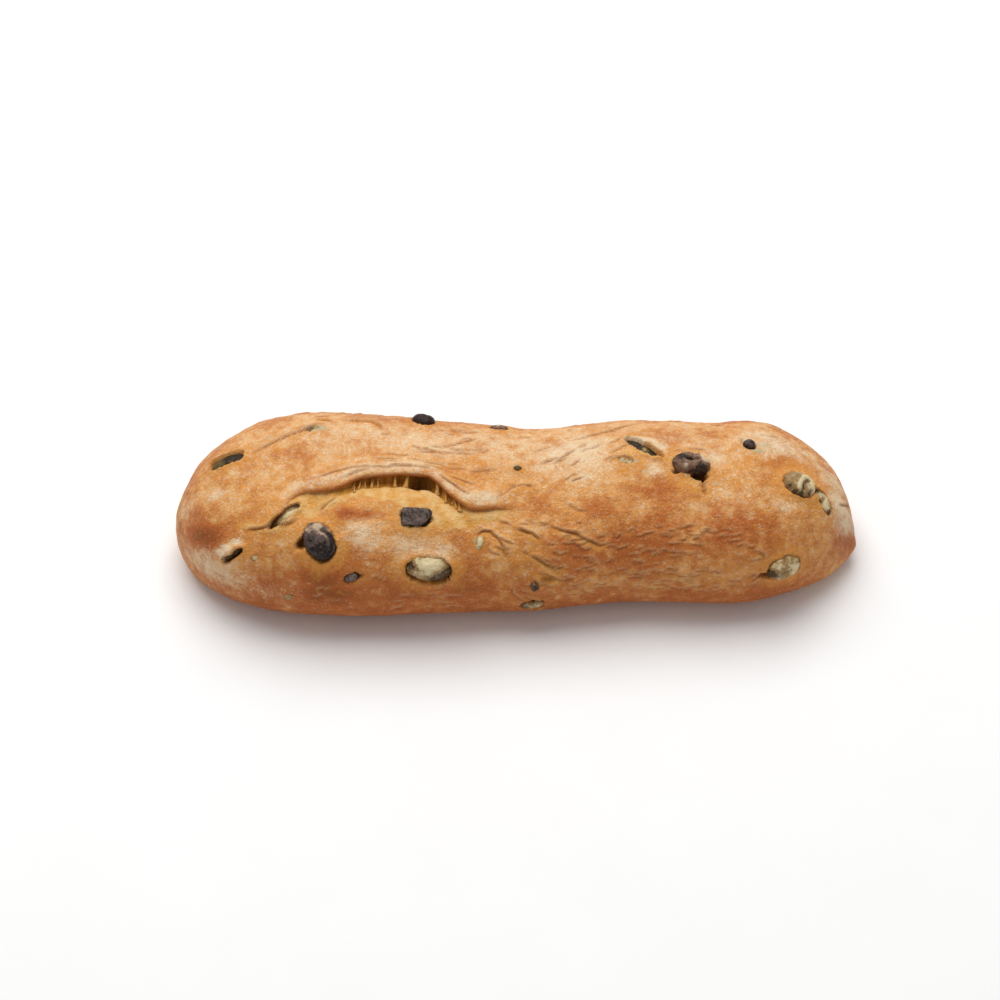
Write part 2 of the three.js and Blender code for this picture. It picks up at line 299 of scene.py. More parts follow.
def lumps(points, size, seed, stretch=(1, 1, 1)):
    """Gradient noise, about -1 to 1, with lumps of the given size: on a cubic lattice of random
    slopes, the eight around a point are added up with quintic weights."""
    draw = np.random.default_rng(seed)
    order = draw.permutation(256)
    slopes = unit(draw.normal(size=(256, 3)))
    place = points / (size * np.array(stretch))
    cell = np.floor(place).astype(int)
    inside = place - cell
    ease = inside**3 * (inside * (inside * 6 - 15) + 10)
    total = np.zeros(points.shape[:-1])
    for corner in np.ndindex(2, 2, 2):
        at = (cell + corner) & 255
        slope = slopes[order[(order[(order[at[..., 0]] + at[..., 1]) & 255] + at[..., 2]) & 255]]
        weight = np.prod(np.where(corner, ease, 1 - ease), axis=-1)
        total += weight * np.sum(slope * (inside - corner), axis=-1)
    return total * 1.6


# ---------------------------------------------------------------- what the oven did to the crust

# How the crust opens round each olive. mouth scales the opening from the olive's half sizes, corner
# is the power of its outline, shift moves it in mm, floor is how far its bottom lies under the
# olive's middle, rim is the height of the edge round it, flap the extra height of the edge on one
# side, which is given in degrees from the olive's length, lean how far that flap hangs over, and
# halo the share of bare golden crust.
POCKETS = {
    "olive_left_shoulder": dict(
        mouth=(1, 0.8), corner=4, floor=2, rim=0.35, flap=0.5, side=90, lean=0.5, halo=0.5,
    ),
    "olive_left_crest": dict(mouth=(0.45, 0.3), floor=0.4, rim=0.1, shift=(-3, 1), halo=0.2),
    "olive_back_crest": dict(mouth=(0.95, 0.95), floor=2.4, rim=0.2, halo=0.2),
    "olive_back_sliver": dict(mouth=(1, 1), floor=1.4, rim=0.3, halo=0.3),
    "olive_green_sliver": dict(
        mouth=(1.02, 0.62), corner=2.1, floor=1.6, rim=0.15, flap=1, side=90, lean=1, halo=0.7,
    ),
    "olive_black_curl": dict(mouth=(1, 0.98), floor=2.4, rim=0.5, shift=(0.5, -0.3), halo=0.6),
    "olive_split_chunk": dict(mouth=(0.92, 0.88), corner=4, floor=1.8, rim=0.15, halo=0.9),
    "olive_left_sliver": dict(
        mouth=(1, 0.55), floor=1.2, rim=0.3, shift=(0.1, -1.9), flap=1.6, side=95, lean=1.2, halo=0.6,
    ),
    "olive_front_bit": dict(mouth=(1.15, 0.9), floor=1.2, rim=0.15, halo=0.2),
    "olive_front_bulge": dict(
        mouth=(0.98, 0.88), floor=2.2, rim=0.3, shift=(0, -0.9), flap=1.5, side=92, lean=0.5, halo=0.5,
    ),
    "olive_front_foot": dict(mouth=(1, 1), floor=1.6, rim=0.4, halo=0.2),
    "olive_right_slit": dict(
        mouth=(0.98, 0.58), corner=3, floor=2, rim=0.3, flap=1.8, side=85, lean=1.7, halo=0.8,
    ),
    "olive_right_crown": dict(mouth=(0.97, 0.94), floor=2.6, rim=0.35, halo=0.7),
    "olive_right_back": dict(mouth=(1.15, 1.1), floor=1.2, rim=0.3, halo=0.5),
    "olive_right_shoulder": dict(mouth=(0.95, 0.94), floor=2, rim=0.45, halo=0.6),
    "olive_right_strip": dict(mouth=(0.98, 0.98), floor=1.2, rim=0.35, halo=0.5),
    "olive_crown_speck": dict(mouth=(0.7, 0.5), floor=0.7, rim=0.5, flap=0.4, side=90, halo=0.5),
    "olive_front_speck": dict(mouth=(0.75, 0.75), floor=0.9, rim=0.2, halo=0.2),
    "olive_right_front": dict(mouth=(0.93, 0.9), floor=2, rim=0.45, halo=0.4),
    "olive_crown_patch": dict(mouth=(0.7, 0.6), floor=0.5, rim=0.15, halo=0.7),
    "olive_crease_sliver": dict(mouth=(0.8, 0.8), floor=0.6, rim=0.15, halo=0.4),
    "olive_left_speck": dict(mouth=(0.9, 0.6), floor=0.6, rim=0.1, halo=0.1),
    "olive_foot_speck": dict(mouth=(0.7, 0.8), floor=0.6, rim=0.1, halo=0.1),
    "olive_back_left": dict(mouth=(1.02, 0.85), floor=2.2, rim=0.4, flap=0.9, side=90, lean=0.8, halo=0.5),
    "olive_back_low": dict(mouth=(1.02, 1.02), floor=2, rim=0.4, halo=0.4),
    "olive_back_middle": dict(mouth=(1.04, 1.04), floor=2.4, rim=0.5, halo=0.6),
    "olive_back_chunk": dict(mouth=(1, 0.98), corner=3.4, floor=2, rim=0.3, halo=0.5),
    "olive_back_right": dict(mouth=(1.02, 0.9), floor=2.2, rim=0.4, flap=0.9, side=-90, lean=0.9, halo=0.6),
    "olive_back_tip": dict(mouth=(1.05, 0.9), floor=1.8, rim=0.4, flap=0.6, side=90, lean=0.6, halo=0.5),
}
HALO_REACH = 5.5  # how far the bare golden crust reaches from a full-sized olive's opening
OPENING_REACH = 26  # an opening changes nothing farther than this from its olive's middle

# Where the dough was pinched off at the right tip: middle, height and reach.
PINCH_MIDDLE = np.array([134.5, -6, 10])
PINCH_HEIGHT = 1.1
PINCH_REACH = 4

# Holes and slits beside the olives, opened like their pockets. floor is the depth below the crust,
# and the last number is how much shade is painted down there as dark colour.
PITS = [
    dict(at=(-76, 131.5), half=(3.4, 1), spin=-8, floor=1.6, rim=0.3, halo=0.3, painted_shade=0.7),
    dict(at=(70.9, 78.5), half=(3.4, 2.5), spin=-24, floor=4.4, rim=0.2, halo=0.6, painted_shade=1),
    dict(at=(72.8, 68.5), half=(1, 3.4), spin=6, floor=1.6, rim=0.2, halo=0.7, painted_shade=0.35),
    dict(at=(62.2, 80.5), half=(1.7, 1.3), spin=30, floor=1.2, rim=0.1, halo=0.5, painted_shade=0.6),
    dict(at=(12, 13.5), half=(2.4, 1.6), spin=-8, floor=1, rim=0.5, halo=0.5, painted_shade=0.2),
    dict(at=(89, 112.5), half=(0.8, 2), spin=10, floor=1.4, rim=0.3, halo=0.5, painted_shade=0.5),
    dict(at=(-82.4, 33.6), half=(2.7, 2), spin=50, floor=3.6, rim=0.2, halo=0.4, painted_shade=0.9),
    dict(at=(-60, 17.5), half=(0.9, 0.8), spin=0, floor=1, rim=0.1, halo=0.1, painted_shade=0.9),
    dict(at=(97, 9), half=(3.2, 1.2), spin=-8, floor=2, rim=0.1, halo=0.2, painted_shade=0.8),
    dict(at=(-82, 83), half=(0.8, 2.6), spin=-8, floor=0.5, rim=0.2, halo=0.1, painted_shade=0.25),
    dict(at=(-1, 74.6), half=(1.2, 0.9), spin=20, floor=0.7, rim=0.2, halo=0.3, painted_shade=0.35),
    dict(at=(4.9, 75.4), half=(1, 0.7), spin=0, floor=0.6, rim=0.2, halo=0.3, painted_shade=0.35),
    dict(at=(56.5, 93), half=(1.3, 1), spin=-30, floor=1.4, rim=0.2, halo=0.4, painted_shade=0.8),
    dict(at=(-30, 200), half=(3, 0.8), spin=-10, floor=1.2, rim=0.3, halo=0.3, painted_shade=0.6),
    dict(at=(84, 176), half=(2.6, 1), spin=20, floor=1.4, rim=0.3, halo=0.4, painted_shade=0.7),
]

# Folds of the skin: the height of the edge that stands on the left of the fold's line, how much
# golden dough the fold has drawn bare on its right, and the line, of (x, turn).
FOLDS = [
    (0.9, 0.9, [(-106, 101), (-102, 105), (-96, 111), (-91, 116), (-83, 120), (-79, 126), (-74, 128)]),
    (0.8, 0.7, [(-71, 134), (-64, 135), (-57, 135), (-54, 129), (-51, 122)]),
    (0.5, 0.3, [(-81, 71), (-77, 75), (-71, 80), (-65, 83), (-54, 85), (-44, 84)]),
    (0.9, 0.9, [(-106, 39), (-103, 41), (-96, 42), (-88, 44), (-83, 47)]),
    (0.9, 0.9, [(-17, 39), (-13, 43), (-10, 43), (-7, 39), (-5, 34), (-1.7, 31)]),
    (0.8, 0.8, [(-1, 45), (2.4, 44), (6, 42), (10, 37)]),
    (1.0, 0.9, [(4, 31), (8, 27), (11.5, 23), (16, 21), (21, 20)]),
    (0.8, 0.8, [(12, 47), (19, 42), (23, 40), (29, 34.5), (32, 32), (38, 32)]),
    (0.4, 0.5, [(19, 61), (24, 55), (28, 53.5)]),
    (0.7, 0.5, [(-69, 62), (-73, 57), (-76, 51)]),
    (0.5, 0.2, [(-52, 84.5), (-44, 86), (-36, 86), (-31, 84)]),
    (0.5, 0.3, [(-31, 82), (-27, 76), (-22, 69), (-17, 64)]),
    (0.4, 0.2, [(-68, 74), (-62, 80), (-56, 83)]),
    (0.7, 0.6, [(7, 19), (11, 17.5), (15, 15), (19, 10)]),
    (0.6, 0.3, [(8, 10.5), (12, 9.5), (16, 8)]),
    (0.5, 0.2, [(-2, 10), (-1, 3), (3, -2)]),
    (0.55, 0.5, [(-32, 110.5), (-25, 112), (-21, 116), (-14, 123)]),
    (0.55, 0.5, [(-41, 103.5), (-31, 105), (-21, 104), (-14, 104)]),
    (0.45, 0.4, [(-56, 93), (-51, 93), (-45, 93)]),
    (0.45, 0.4, [(-37, 90.5), (-30, 91), (-26, 89)]),
    (0.5, 0.5, [(-27, 81), (-20, 76), (-15, 74)]),
    (0.4, 0.3, [(-52, 99), (-46, 98), (-40, 99)]),
    (0.5, 0.4, [(0, 76), (-3.4, 69), (-8, 63)]),
    (0.35, 0.4, [(-1, 75), (3, 77), (8, 75)]),
    (0.5, 0.4, [(61, 100), (66.7, 100), (69.5, 96)]),
    (0.4, 0.2, [(66, 103), (71, 103), (76, 104.5)]),
    (0.6, 0.4, [(91, 26), (94.6, 25), (97, 21)]),
    (0.35, 0.2, [(56, 25.5), (61, 26.5), (66, 25.5), (73, 26)]),
    (0.35, 0.3, [(69, 14.5), (74.5, 15.5)]),
    (0.35, 0.2, [(54, 13), (60, 12), (65, 11.5)]),
    (0.35, 0.1, [(48, 0.5), (59, -0.5)]),
    (0.6, 0.4, [(20, 118), (30, 121), (38, 124), (49, 134)]),
    (0.5, 0.3, [(14, 95), (18, 101), (22, 105)]),
    (0.5, 0.2, [(126, 66), (130, 76), (133, 92)]),
    (0.8, 0.6, [(-72, 162), (-62, 159), (-52, 163), (-42, 168), (-33, 170)]),
    (0.7, 0.6, [(32, 176), (38, 171), (46, 171), (54, 165)]),
    (0.6, 0.4, [(70, 194), (80, 190), (92, 192)]),
]

# Where flour lies thickest, as patches: (x, turn, reach along, reach across, strength), reaches in mm.
FLOUR = [
    (-20, 114, 90, 18, 0.38),
    (60, 108, 50, 13, 0.3),
    (-118, 12, 14, 11, 0.85),
    (-96, 3, 16, 8, 0.35),
    (-131, 70, 7, 12, 0.35),
    (-117, 70, 4, 4, 0.6),
    (-104, 86, 14, 8, 0.2),
    (-60, 122, 24, 9, 0.4),
    (-78, 112, 10, 6, 0.25),
    (-60, 39, 8, 6, 0.6),
    (129, 69, 6, 10, 1.5),
    (101, 110, 14, 9, 0.9),
    (41, 120, 9, 5, 0.5),
    (70, 112, 10, 5, 0.3),
    (-40, 34, 8, 4, 0.65),
    (-30, 31, 8, 3, 0.65),
    (-12, 118, 14, 9, 0.45),
    (24, 104, 18, 16, 0.75),
    (12, 92, 10, 8, 0.4),
    (26, 79, 5, 3, 0.6),
    (54, 80, 5, 4, 0.75),
    (76, 96, 6, 7, 0.75),
    (98, 118, 12, 8, 0.7),
    (131, 54, 7, 14, 1.2),
    (126, 98, 8, 12, 0.7),
    (104, 54, 5, 4, 0.5),
    (84, 62, 16, 10, 0.2),
    (-114.4, 25.6, 3, 2, 1.8),
    (-111.4, 29.4, 3, 2, 1.8),
    (-108, 33, 2.6, 1.6, 1.7),
    (46, 109, 5, 2.6, 1.3),
    (52, 107, 5, 3, 1.8),
    (56, 102, 3, 2.4, 1.6),
    (60, 170, 40, 16, 0.4),
    (-80, 165, 30, 16, 0.5),
    (-10, 190, 40, 10, 0.45),
]
# Where the oven browned the crust most, as patches.
TOAST = [
    (-121, 36, 12, 8, 1),
    (-129, 52, 7, 8, 0.6),
    (-66, 51, 5, 3.4, 1.3),
    (-58, 50.5, 8, 2.8, 1.2),
    (-85, 95, 9, 6, 0.5),
    (-74, 16, 12, 9, 1),
    (9, 60, 9, 6, 0.35),
    (32, 54, 10, 8, 0.48),
    (55, 66, 11, 8, 0.65),
    (68, 61, 8, 6, 0.55),
    (72, 47, 10, 8, 0.7),
    (103, 88, 6, 6, 0.65),
    (74, 120, 12, 6, 0.3),
    (-66, 24, 16, 8, 0.5),
    (-30, 8, 30, 9, 0.8),
    (-72, 5, 16, 8, 0.95),
    (-96, 8, 9, 9, 0.4),
    (-12, 20, 14, 10, 0.4),
    (-13, 34, 6, 5, 0.5),
    (40, 30, 34, 13, 0.55),
    (60, 44, 20, 8, 0.6),
    (84, 38, 18, 11, 0.8),
    (98, 86, 5, 10, 0.5),
    (12, 30, 9, 7, 0.45),
    (130, 28, 8, 14, 0.6),
    (80, -6, 40, 7, 0.5),
    (-90, 92, 16, 7, 0.35),
    (60, 118, 14, 6, 0.4),
    (-50, 150, 30, 12, 0.35),
    (30, 158, 24, 12, 0.4),
    (88, 150, 16, 12, 0.35),
]
# Where olive shows grey-green through a thin skin of dough, as patches.
STAIN = [
    (94.8, 101.5, 3.4, 1.8, 1),
    (97, 108, 4, 3, 0.7),
    (-79, 121, 5.4, 2.4, 1.2),
    (-97.5, 117, 3.2, 1.2, 0.9),
    (45, 87, 4, 1.6, 0.8),
    (-15.5, 37, 1.4, 2.6, 0.8),
    (-1, 92, 4, 1.1, 0.8),
    (78, 72, 3, 1.4, 0.6),
]
# Where the skin stretched late and stayed golden, as patches.
GOLD = [
    (-114, 100.5, 9, 1.8, 1.2),
    (-103, 43, 5, 2, 1),
    (-92, 42, 9, 3, 1.1),
    (-80, 50, 8, 4, 0.9),
    (-64, 64, 10, 5, 0.9),
    (-38, 60, 16, 7, 1),
    (-18, 54, 12, 4, 1),
    (-100, 112, 10, 4, 0.7),
    (-76, 46, 5, 4, 0.7),
    (-24, 98, 14, 5, 0.55),
    (-22, 78, 8, 3, 0.6),
    (70, 74, 9, 7, 0.8),
    (80, 72, 7, 3, 0.9),
    (44, 96, 10, 8, 0.8),
    (88, 92, 8, 6, 0.55),
    (40, 122, 12, 4, 0.6),
    (92, 104, 9, 4, 0.6),
    (118, 60, 8, 7, 0.45),
    (4, 28, 10, 3, 0.5),
]


def in_turn(turn):
    """The same angle between -90 and 270, so that the seam lies underneath."""
    return (turn + 90) % 360 - 90


def patches(x, turn, table):
    """The largest of the table's patches at each place: strength * exp(-(distance / reach)²)."""
    total = np.zeros(x.shape)
    for at, angle, along, across, strength in table:
        away = np.hypot((x - at) / along, (turn - angle) * MM_PER_DEGREE / across)
        total = np.maximum(total, strength * bell(away, 1))
    return total


def beside(points, x, turn):
    """Each place's distance in mm from a line over the crust, positive on its left, and how far
    along the line, 0 to 1, its nearest point is."""
    line = np.array(points, float) * (1, MM_PER_DEGREE)
    here = np.stack([x, turn * MM_PER_DEGREE], -1)
    lengths = np.linalg.norm(np.diff(line, axis=0), axis=1)
    starts = np.concatenate([[0], np.cumsum(lengths)])
    best = np.full(x.shape, 1e3)
    share = np.zeros(x.shape)
    for start, end, length, before in zip(line[:-1], line[1:], lengths, starts):
        t = np.clip((here - start) @ (end - start) / length**2, 0, 1)
        gap = here - start - t[..., None] * (end - start)
        side = (end - start)[0] * gap[..., 1] - (end - start)[1] * gap[..., 0]
        away = np.where(side < 0, -1, 1) * np.linalg.norm(gap, axis=-1)
        nearer = np.abs(away) < np.abs(best)
        best = np.where(nearer, away, best)
        share = np.where(nearer, (before + t * length) / starts[-1], share)
    return best, share


def short_folds(seed, count, x_range, turn_range, length, slope):
    """Random short creases: each starts in the region and runs along the loaf in three steps."""
    draw = np.random.default_rng(seed)
    folds = []
    for _ in range(count):
        x, turn = draw.uniform(*x_range), draw.uniform(*turn_range)
        reach, tilt = draw.uniform(*length), draw.normal(slope, 0.12)
        bends = draw.normal(0, 0.5, 2)
        steps = [(0, 0), (0.35, bends[0]), (0.7, bends[1]), (1, 0)]
        line = [(x + reach * t, turn + (reach * t * tilt + bend) / MM_PER_DEGREE) for t, bend in steps]
        folds.append((draw.uniform(*WRINKLE_HEIGHTS), 0, line))
    return folds


# Stretches of finely wrinkled skin: (seed, count, x from and to, turn from and to, lengths, slope).
WRINKLED = [
    (3, 125, (14, 92), (-2, 42), (2, 7), 0),
    (5, 18, (-52, -14), (86, 112), (4, 11), -0.05),
    (7, 34, (-12, 28), (2, 52), (2, 7), -0.5),
    (11, 60, (-100, 100), (118, 185), (3, 11), 0),
    (13, 16, (6, 40), (76, 112), (3, 8), 0.5),
    (17, 20, (-80, -20), (-6, 20), (3, 8), 0),
    (19, 24, (-110, 110), (185, 215), (3, 9), 0),
]
WRINKLE_HEIGHTS = (0.2, 0.5)
WRINKLES = [fold for stretch in WRINKLED for fold in short_folds(*stretch)]
FOLD_REACH = (9, 13)  # a fold changes nothing farther from its line: mm along, degrees of turn


def fold_profile(away, height):
    """Across a fold: one side stands up over it and sinks back in a few mm, the other dips under."""
    stands = smooth(away, -0.35, 0.4) * np.exp(-np.abs(away) / 2.6)
    return height * (stands - 0.6 * bell(away + 0.5, 0.55))


def spacing(length, weight, count):
    """count places along a length, closer together where weight is larger: the inverse of the
    weight's running total."""
    total = np.concatenate([[0], np.cumsum((weight[1:] + weight[:-1]) / 2 * np.diff(length))])
    return np.interp(np.linspace(0, total[-1], count), total, length)


RINGS = 380
SECTORS = 260
SAMPLES = 4000  # places tried along and round the crust when its grid is spaced


def loaf_places():
    """The grid's x values, evenly spaced over the crust's curved length, and its rows in degrees
    from the split's line, closest together across the split and widest underneath."""
    x = -HALF * np.cos(np.linspace(0, math.pi, SAMPLES))
    profile = plain_crust(x, np.full(x.shape, 40.0))
    step = np.linalg.norm(np.diff(profile, axis=0), axis=1)
    length = np.concatenate([[0], np.cumsum(step)])
    rings = np.interp(np.linspace(0, length[-1], RINGS + 2)[1:-1], length, x)
    first = GAPING_SECTION[0][0]
    row = np.linspace(first, first + 360 * MM_PER_DEGREE, SAMPLES) / MM_PER_DEGREE
    place = row * MM_PER_DEGREE
    dense = 1 - smooth(np.abs(place + 2), 16, 24)
    table = smooth(row, 142, 162) * (1 - smooth(row, 255, 275))
    rows = spacing(row, 1 + 1.1 * dense - 0.75 * table, SECTORS + 1)[:-1]
    return rings, rows


def split_crust(x, row):
    """The crust at rows counted in degrees from the split's line: each point's turn, its height over
    the plain crust, and how much it belongs to the crumb, the hollow, the lip and the split's top.

    Across the split, a row's place along the section's curve gives its distance behind the line
    and its height, mixed from the gaping and the closed section.
    """
    flat = np.stack([x, row, 0 * x], -1)
    opened = smooth(x, *SPLIT_STARTS) * (1 - smooth(x, *SPLIT_ENDS))
    gaping = np.clip(gape(x) * (1 + 0.3 * lumps(flat, 6, 31, (1, 400, 1))), 0, 1.3)
    place = row * MM_PER_DEGREE
    inside = np.clip(place, GAPING_SECTION[0][0], GAPING_SECTION[-1][0])
    within = inside == place
    wide, shut = curve_through(GAPING_SECTION, 1)(inside), curve_through(CLOSED_SECTION, 1)(inside)
    behind = place + (shut + (wide - shut) * gaping - place) * opened * within
    deep, flush = curve_through(GAPING_SECTION, 2)(inside), curve_through(CLOSED_SECTION, 2)(inside)
    height = (flush + (deep - flush) * gaping) * opened * within
    away = np.minimum(np.abs(behind / MM_PER_DEGREE), 360 - np.abs(behind / MM_PER_DEGREE))
    follows = 1 - smooth(away, *ROWS_FOLLOW)
    turn = SPLIT_MEAN + behind / MM_PER_DEGREE + (split_turn(x) - SPLIT_MEAN) * follows

    bared = smooth((turn - crumb_edge(x)) * MM_PER_DEGREE + 1.5 * lumps(flat, 5, 33), -2.5, 3)
    crumb = opened * bared * smooth(place, -26, -22) * (1 - smooth(place, 2.6, 4))
    cave = bell(x - CAVE[0], CAVE[1])
    notch = bell(x - NOTCH[0], NOTCH[1])
    brink = BRINK - 0.8 * cave - 2.4 * notch + 0.9 * lumps(flat, 1.3, 39, (1, 400, 1))
    hollow = smooth(gaping, 0, 0.35) * smooth(place, brink - 0.7, brink + 0.5)
    hollow *= 1 - smooth(place, 1.6, 2.6)
    lip = opened * smooth(place, 1.4, 2.4) * (1 - smooth(place, 4.8, 6.6))
    height -= (2.6 * cave + 1.5 * notch) * bell(place + 2, 2.6) * opened
    fibres = 0.3 * lumps(flat, 1.4, 37, (1, 16, 1)) + 0.4 * lumps(flat, 3, 38, (1, 8, 1))
    height += fibres * crumb * smooth(place, -6, -3.5) * (1 - 0.6 * cave)
    height += 0.5 * lumps(flat, 7, 41, (1, 3, 1)) * crumb
    height += 0.35 * lumps(flat, 4, 43, (1, 1.5, 1)) * lip
    over = opened * bell(place - 8.4, 2.4)
    looks = {"crumb": crumb, "hollow": hollow, "lip": lip, "over": over, "opened": opened * within}
    # painted shade, as dark colour, in the split's deepest stretch and its notch
    looks["pit"] = 0.75 * hollow * np.maximum(cave, notch)
    return turn, height, looks


def add_folds(place, height, looks, waver):
    """Creases the height field along every fold and wrinkle, and marks their dips for painted shade
    and their standing edges for painted highlight. place holds x, turn and how free of the table
    each point is, and waver bends the folds' lines, in mm."""
    x, angle, free = place
    for tall, bare, line in FOLDS + WRINKLES:
        low, high = np.min(line, axis=0) - FOLD_REACH, np.max(line, axis=0) + FOLD_REACH
        near = (x > low[0]) & (x < high[0]) & (angle > low[1]) & (angle < high[1])
        away, share = beside(line, x[near], angle[near])
        away += waver[near] * min(tall / 0.5, 1)
        fade = smooth(share, 0, 0.25) * (1 - smooth(share, 0.75, 1)) * free[near]
        height[near] += fold_profile(away, tall) * fade
        strength = fade * min(0.35 + tall, 1)
        # painted shade in each fold's dip and a painted highlight on its standing edge; halo is bare golden
        # dough
        marks = {
            "crease_shade": bell(away + 0.35, 0.48) * strength,
            "ridge_highlight": bell(away - 0.5, 0.5) * strength,
            "halo": bell(away + 1.5, 1.5) * bare * fade,
        }
        for look, mark in marks.items():
            looks[look][near] = np.maximum(looks[look][near], mark)


def add_opening(base, olive, pocket, height, lean, looks, ragged):
    """Opens the crust over an olive. The edge distance is |p| (1 - 1 / q), with q the superellipse
    radius of the mouth: inside it the height goes to the pocket's floor, outside it rises in a rim."""
    middle, length, breadth, outward = olive_frame(olive)
    near = np.linalg.norm(base - middle, axis=-1) < OPENING_REACH
    gap = base[near] - middle
    a = gap @ length - pocket.get("shift", (0, 0))[0]
    b = gap @ breadth - pocket.get("shift", (0, 0))[1]
    wide = olive["half"][0] * pocket["mouth"][0]
    tall = olive["half"][1] * pocket["mouth"][1]
    corner = pocket.get("corner", 2.3)
    q = np.maximum((np.abs(a / wide) ** corner + np.abs(b / tall) ** corner) ** (1 / corner), 1e-3)
    edge = np.hypot(a, b) * (1 - 1 / q) + ragged[near] * min(tall / 3, 1)
    floor = olive["lift"] + MOUND * 0.5 - pocket["floor"]
    inside = 1 - smooth(edge, -0.8, 0.25)
    facing = 0.5 + 0.5 * np.cos(np.arctan2(b, a) - math.radians(pocket.get("side", 0)))
    rise = pocket["rim"] + pocket.get("flap", 0) * facing
    raised = height[near] + rise * bell(edge - 0.8, 1.5) * (edge > -1)
    height[near] = raised + (floor - raised) * inside
    inward = -(a[..., None] * length + b[..., None] * breadth)
    hang = pocket.get("lean", 0) * facing**2 * bell(edge - 0.5, 0.8)
    lean[near] += unit(inward) * hang[..., None]
    around = pocket["halo"] * bell(np.maximum(edge, 0), HALO_REACH * min(0.4 + wide / 10, 1))
    looks["halo"][near] = np.maximum(looks["halo"][near], around)
    # painted shade, as dark colour, down inside the opening
    looks["pit"][near] = np.maximum(looks["pit"][near], inside * pocket.get("painted_shade", 1))


def bake_crust():
    """The loaf's surface: the plain crust, moved along its outward direction by everything that
    the dough and the oven did to it. Returns the points and the look of each."""
    rings, rows = loaf_places()
    x, row = np.meshgrid(rings, rows, indexing="ij")
    turn, height, looks = split_crust(x, row)
    angle = in_turn(turn)
    base = plain_crust(x, turn)
    out = crust_frame(x, turn)[0]
    free = smooth(np.sin(np.radians(turn)), -0.6, -0.2)

    # the dough's own lumps, from broad to fine, and its swelling over the olives
    height += 0.8 * lumps(base, 36, 1) + 0.4 * lumps(base, 14, 2) + 0.22 * lumps(base, 5, 3)
    height += 0.11 * lumps(base, 2.2, 4)
    swollen = np.zeros(x.shape)
    for olive in OLIVES.values():
        gap = np.hypot(x - olive["at"][0], (angle - olive["at"][1]) * MM_PER_DEGREE)
        size = olive["half"][0]
        swollen += MOUND * bell(gap, size * MOUND_REACH) * min(size / BARE_BIT, 1)
    height += np.minimum(swollen, MOUND_MOST * MOUND) * (1 - np.clip(looks.pop("opened"), 0, 1))

    looks.update({name: np.zeros(x.shape) for name in ("crease_shade", "ridge_highlight", "halo")})
    add_folds((x, angle, free), height, looks, 0.35 * lumps(base, 5, 47))
    lean = np.zeros(x.shape + (3,))
    ragged = 0.6 * lumps(base, 2.4, 53) + 0.32 * lumps(base, 1.1, 54)
    height += PINCH_HEIGHT * bell(np.linalg.norm(base - PINCH_MIDDLE, axis=-1), PINCH_REACH)
    height *= free
    for name, olive in OLIVES.items():
        add_opening(base, olive, POCKETS[name], height, lean, looks, ragged)
    for pit in PITS:
        on_crust = dict(pit, lift=-MOUND * 0.5)
        add_opening(base, on_crust, dict(pit, mouth=(1, 1)), height, lean, looks, ragged)

    points = base + out * height[..., None] + lean
    points[..., 2] = np.maximum(points[..., 2], 0)
    looks["gold"] = np.maximum(patches(x, angle, GOLD), looks.pop("halo"))
    looks["flour"] = np.maximum(patches(x, angle, FLOUR), 0.6 * looks.pop("over"))
    looks["stain"] = patches(x, angle, STAIN)
    # darker low on the front, partly oven browning and partly painted shade; paler towards the top
    low_front_brown_and_shade = smooth(-points[..., 1] / 45, 0.2, 1) * (1 - smooth(points[..., 2], 8, 34))
    pale_crown = 0.3 * smooth(points[..., 2], 34, 52)
    looks["toast_and_low_shade"] = np.maximum(patches(x, angle, TOAST), 0.75 * low_front_brown_and_shade) - pale_crown
    return points, looks


def add_mesh(name, points, faces, looks):
    """A mesh object from points in millimetres in the loaf's own frame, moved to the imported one."""
    mesh = bpy.data.meshes.new(name)
    mesh.from_pydata((points + SHIFT) * MM, [], faces)
    mesh.polygons.foreach_set("use_smooth", np.ones(len(faces), bool))
    for look, values in looks.items():
        mesh.attributes.new(look, "FLOAT", "POINT").data.foreach_set("value", values.astype(np.float32))
    mesh.validate()
    piece = bpy.data.objects.new(name, mesh)
    bpy.context.scene.collection.objects.link(piece)
    return piece


def closed_grid(rings, sectors):
    """Faces of a closed skin: rings of sectors from pole 0 to the last pole, outward where ring
    number crossed with sector number points out."""
    i, j = np.meshgrid(np.arange(rings - 1), np.arange(sectors), indexing="ij")
    here, beyond = 1 + i * sectors + j, 1 + i * sectors + (j + 1) % sectors
    quads = np.stack([here, here + sectors, beyond + sectors, beyond], -1).reshape(-1, 4)
    j = np.arange(sectors)
    last = 1 + (rings - 1) * sectors
    start = np.stack([0 * j, 1 + j, 1 + (j + 1) % sectors], -1)
    end = np.stack([0 * j + last + sectors, last + (j + 1) % sectors, last + j], -1)
    return quads.tolist() + start.tolist() + end.tolist()


def skin(name, points, looks, poles):
    """A closed piece from a grid of points, its two poles and the look of each point."""
    rings, sectors = points.shape[:2]
    everything = np.concatenate([poles[:1], points.reshape(-1, 3), poles[1:]])
    padded = {k: np.concatenate([[v[0].mean()], v.ravel(), [v[-1].mean()]]) for k, v in looks.items()}
    return add_mesh(name, everything, closed_grid(rings, sectors), padded)


# ---------------------------------------------------------------- materials


def linear(hexed):
    """An sRGB hex colour as linear RGBA."""
    values = [int(hexed[i : i + 2], 16) / 255 for i in (1, 3, 5)]
    return [v / 12.92 if v <= 0.04045 else ((v + 0.055) / 1.055) ** 2.4 for v in values] + [1]


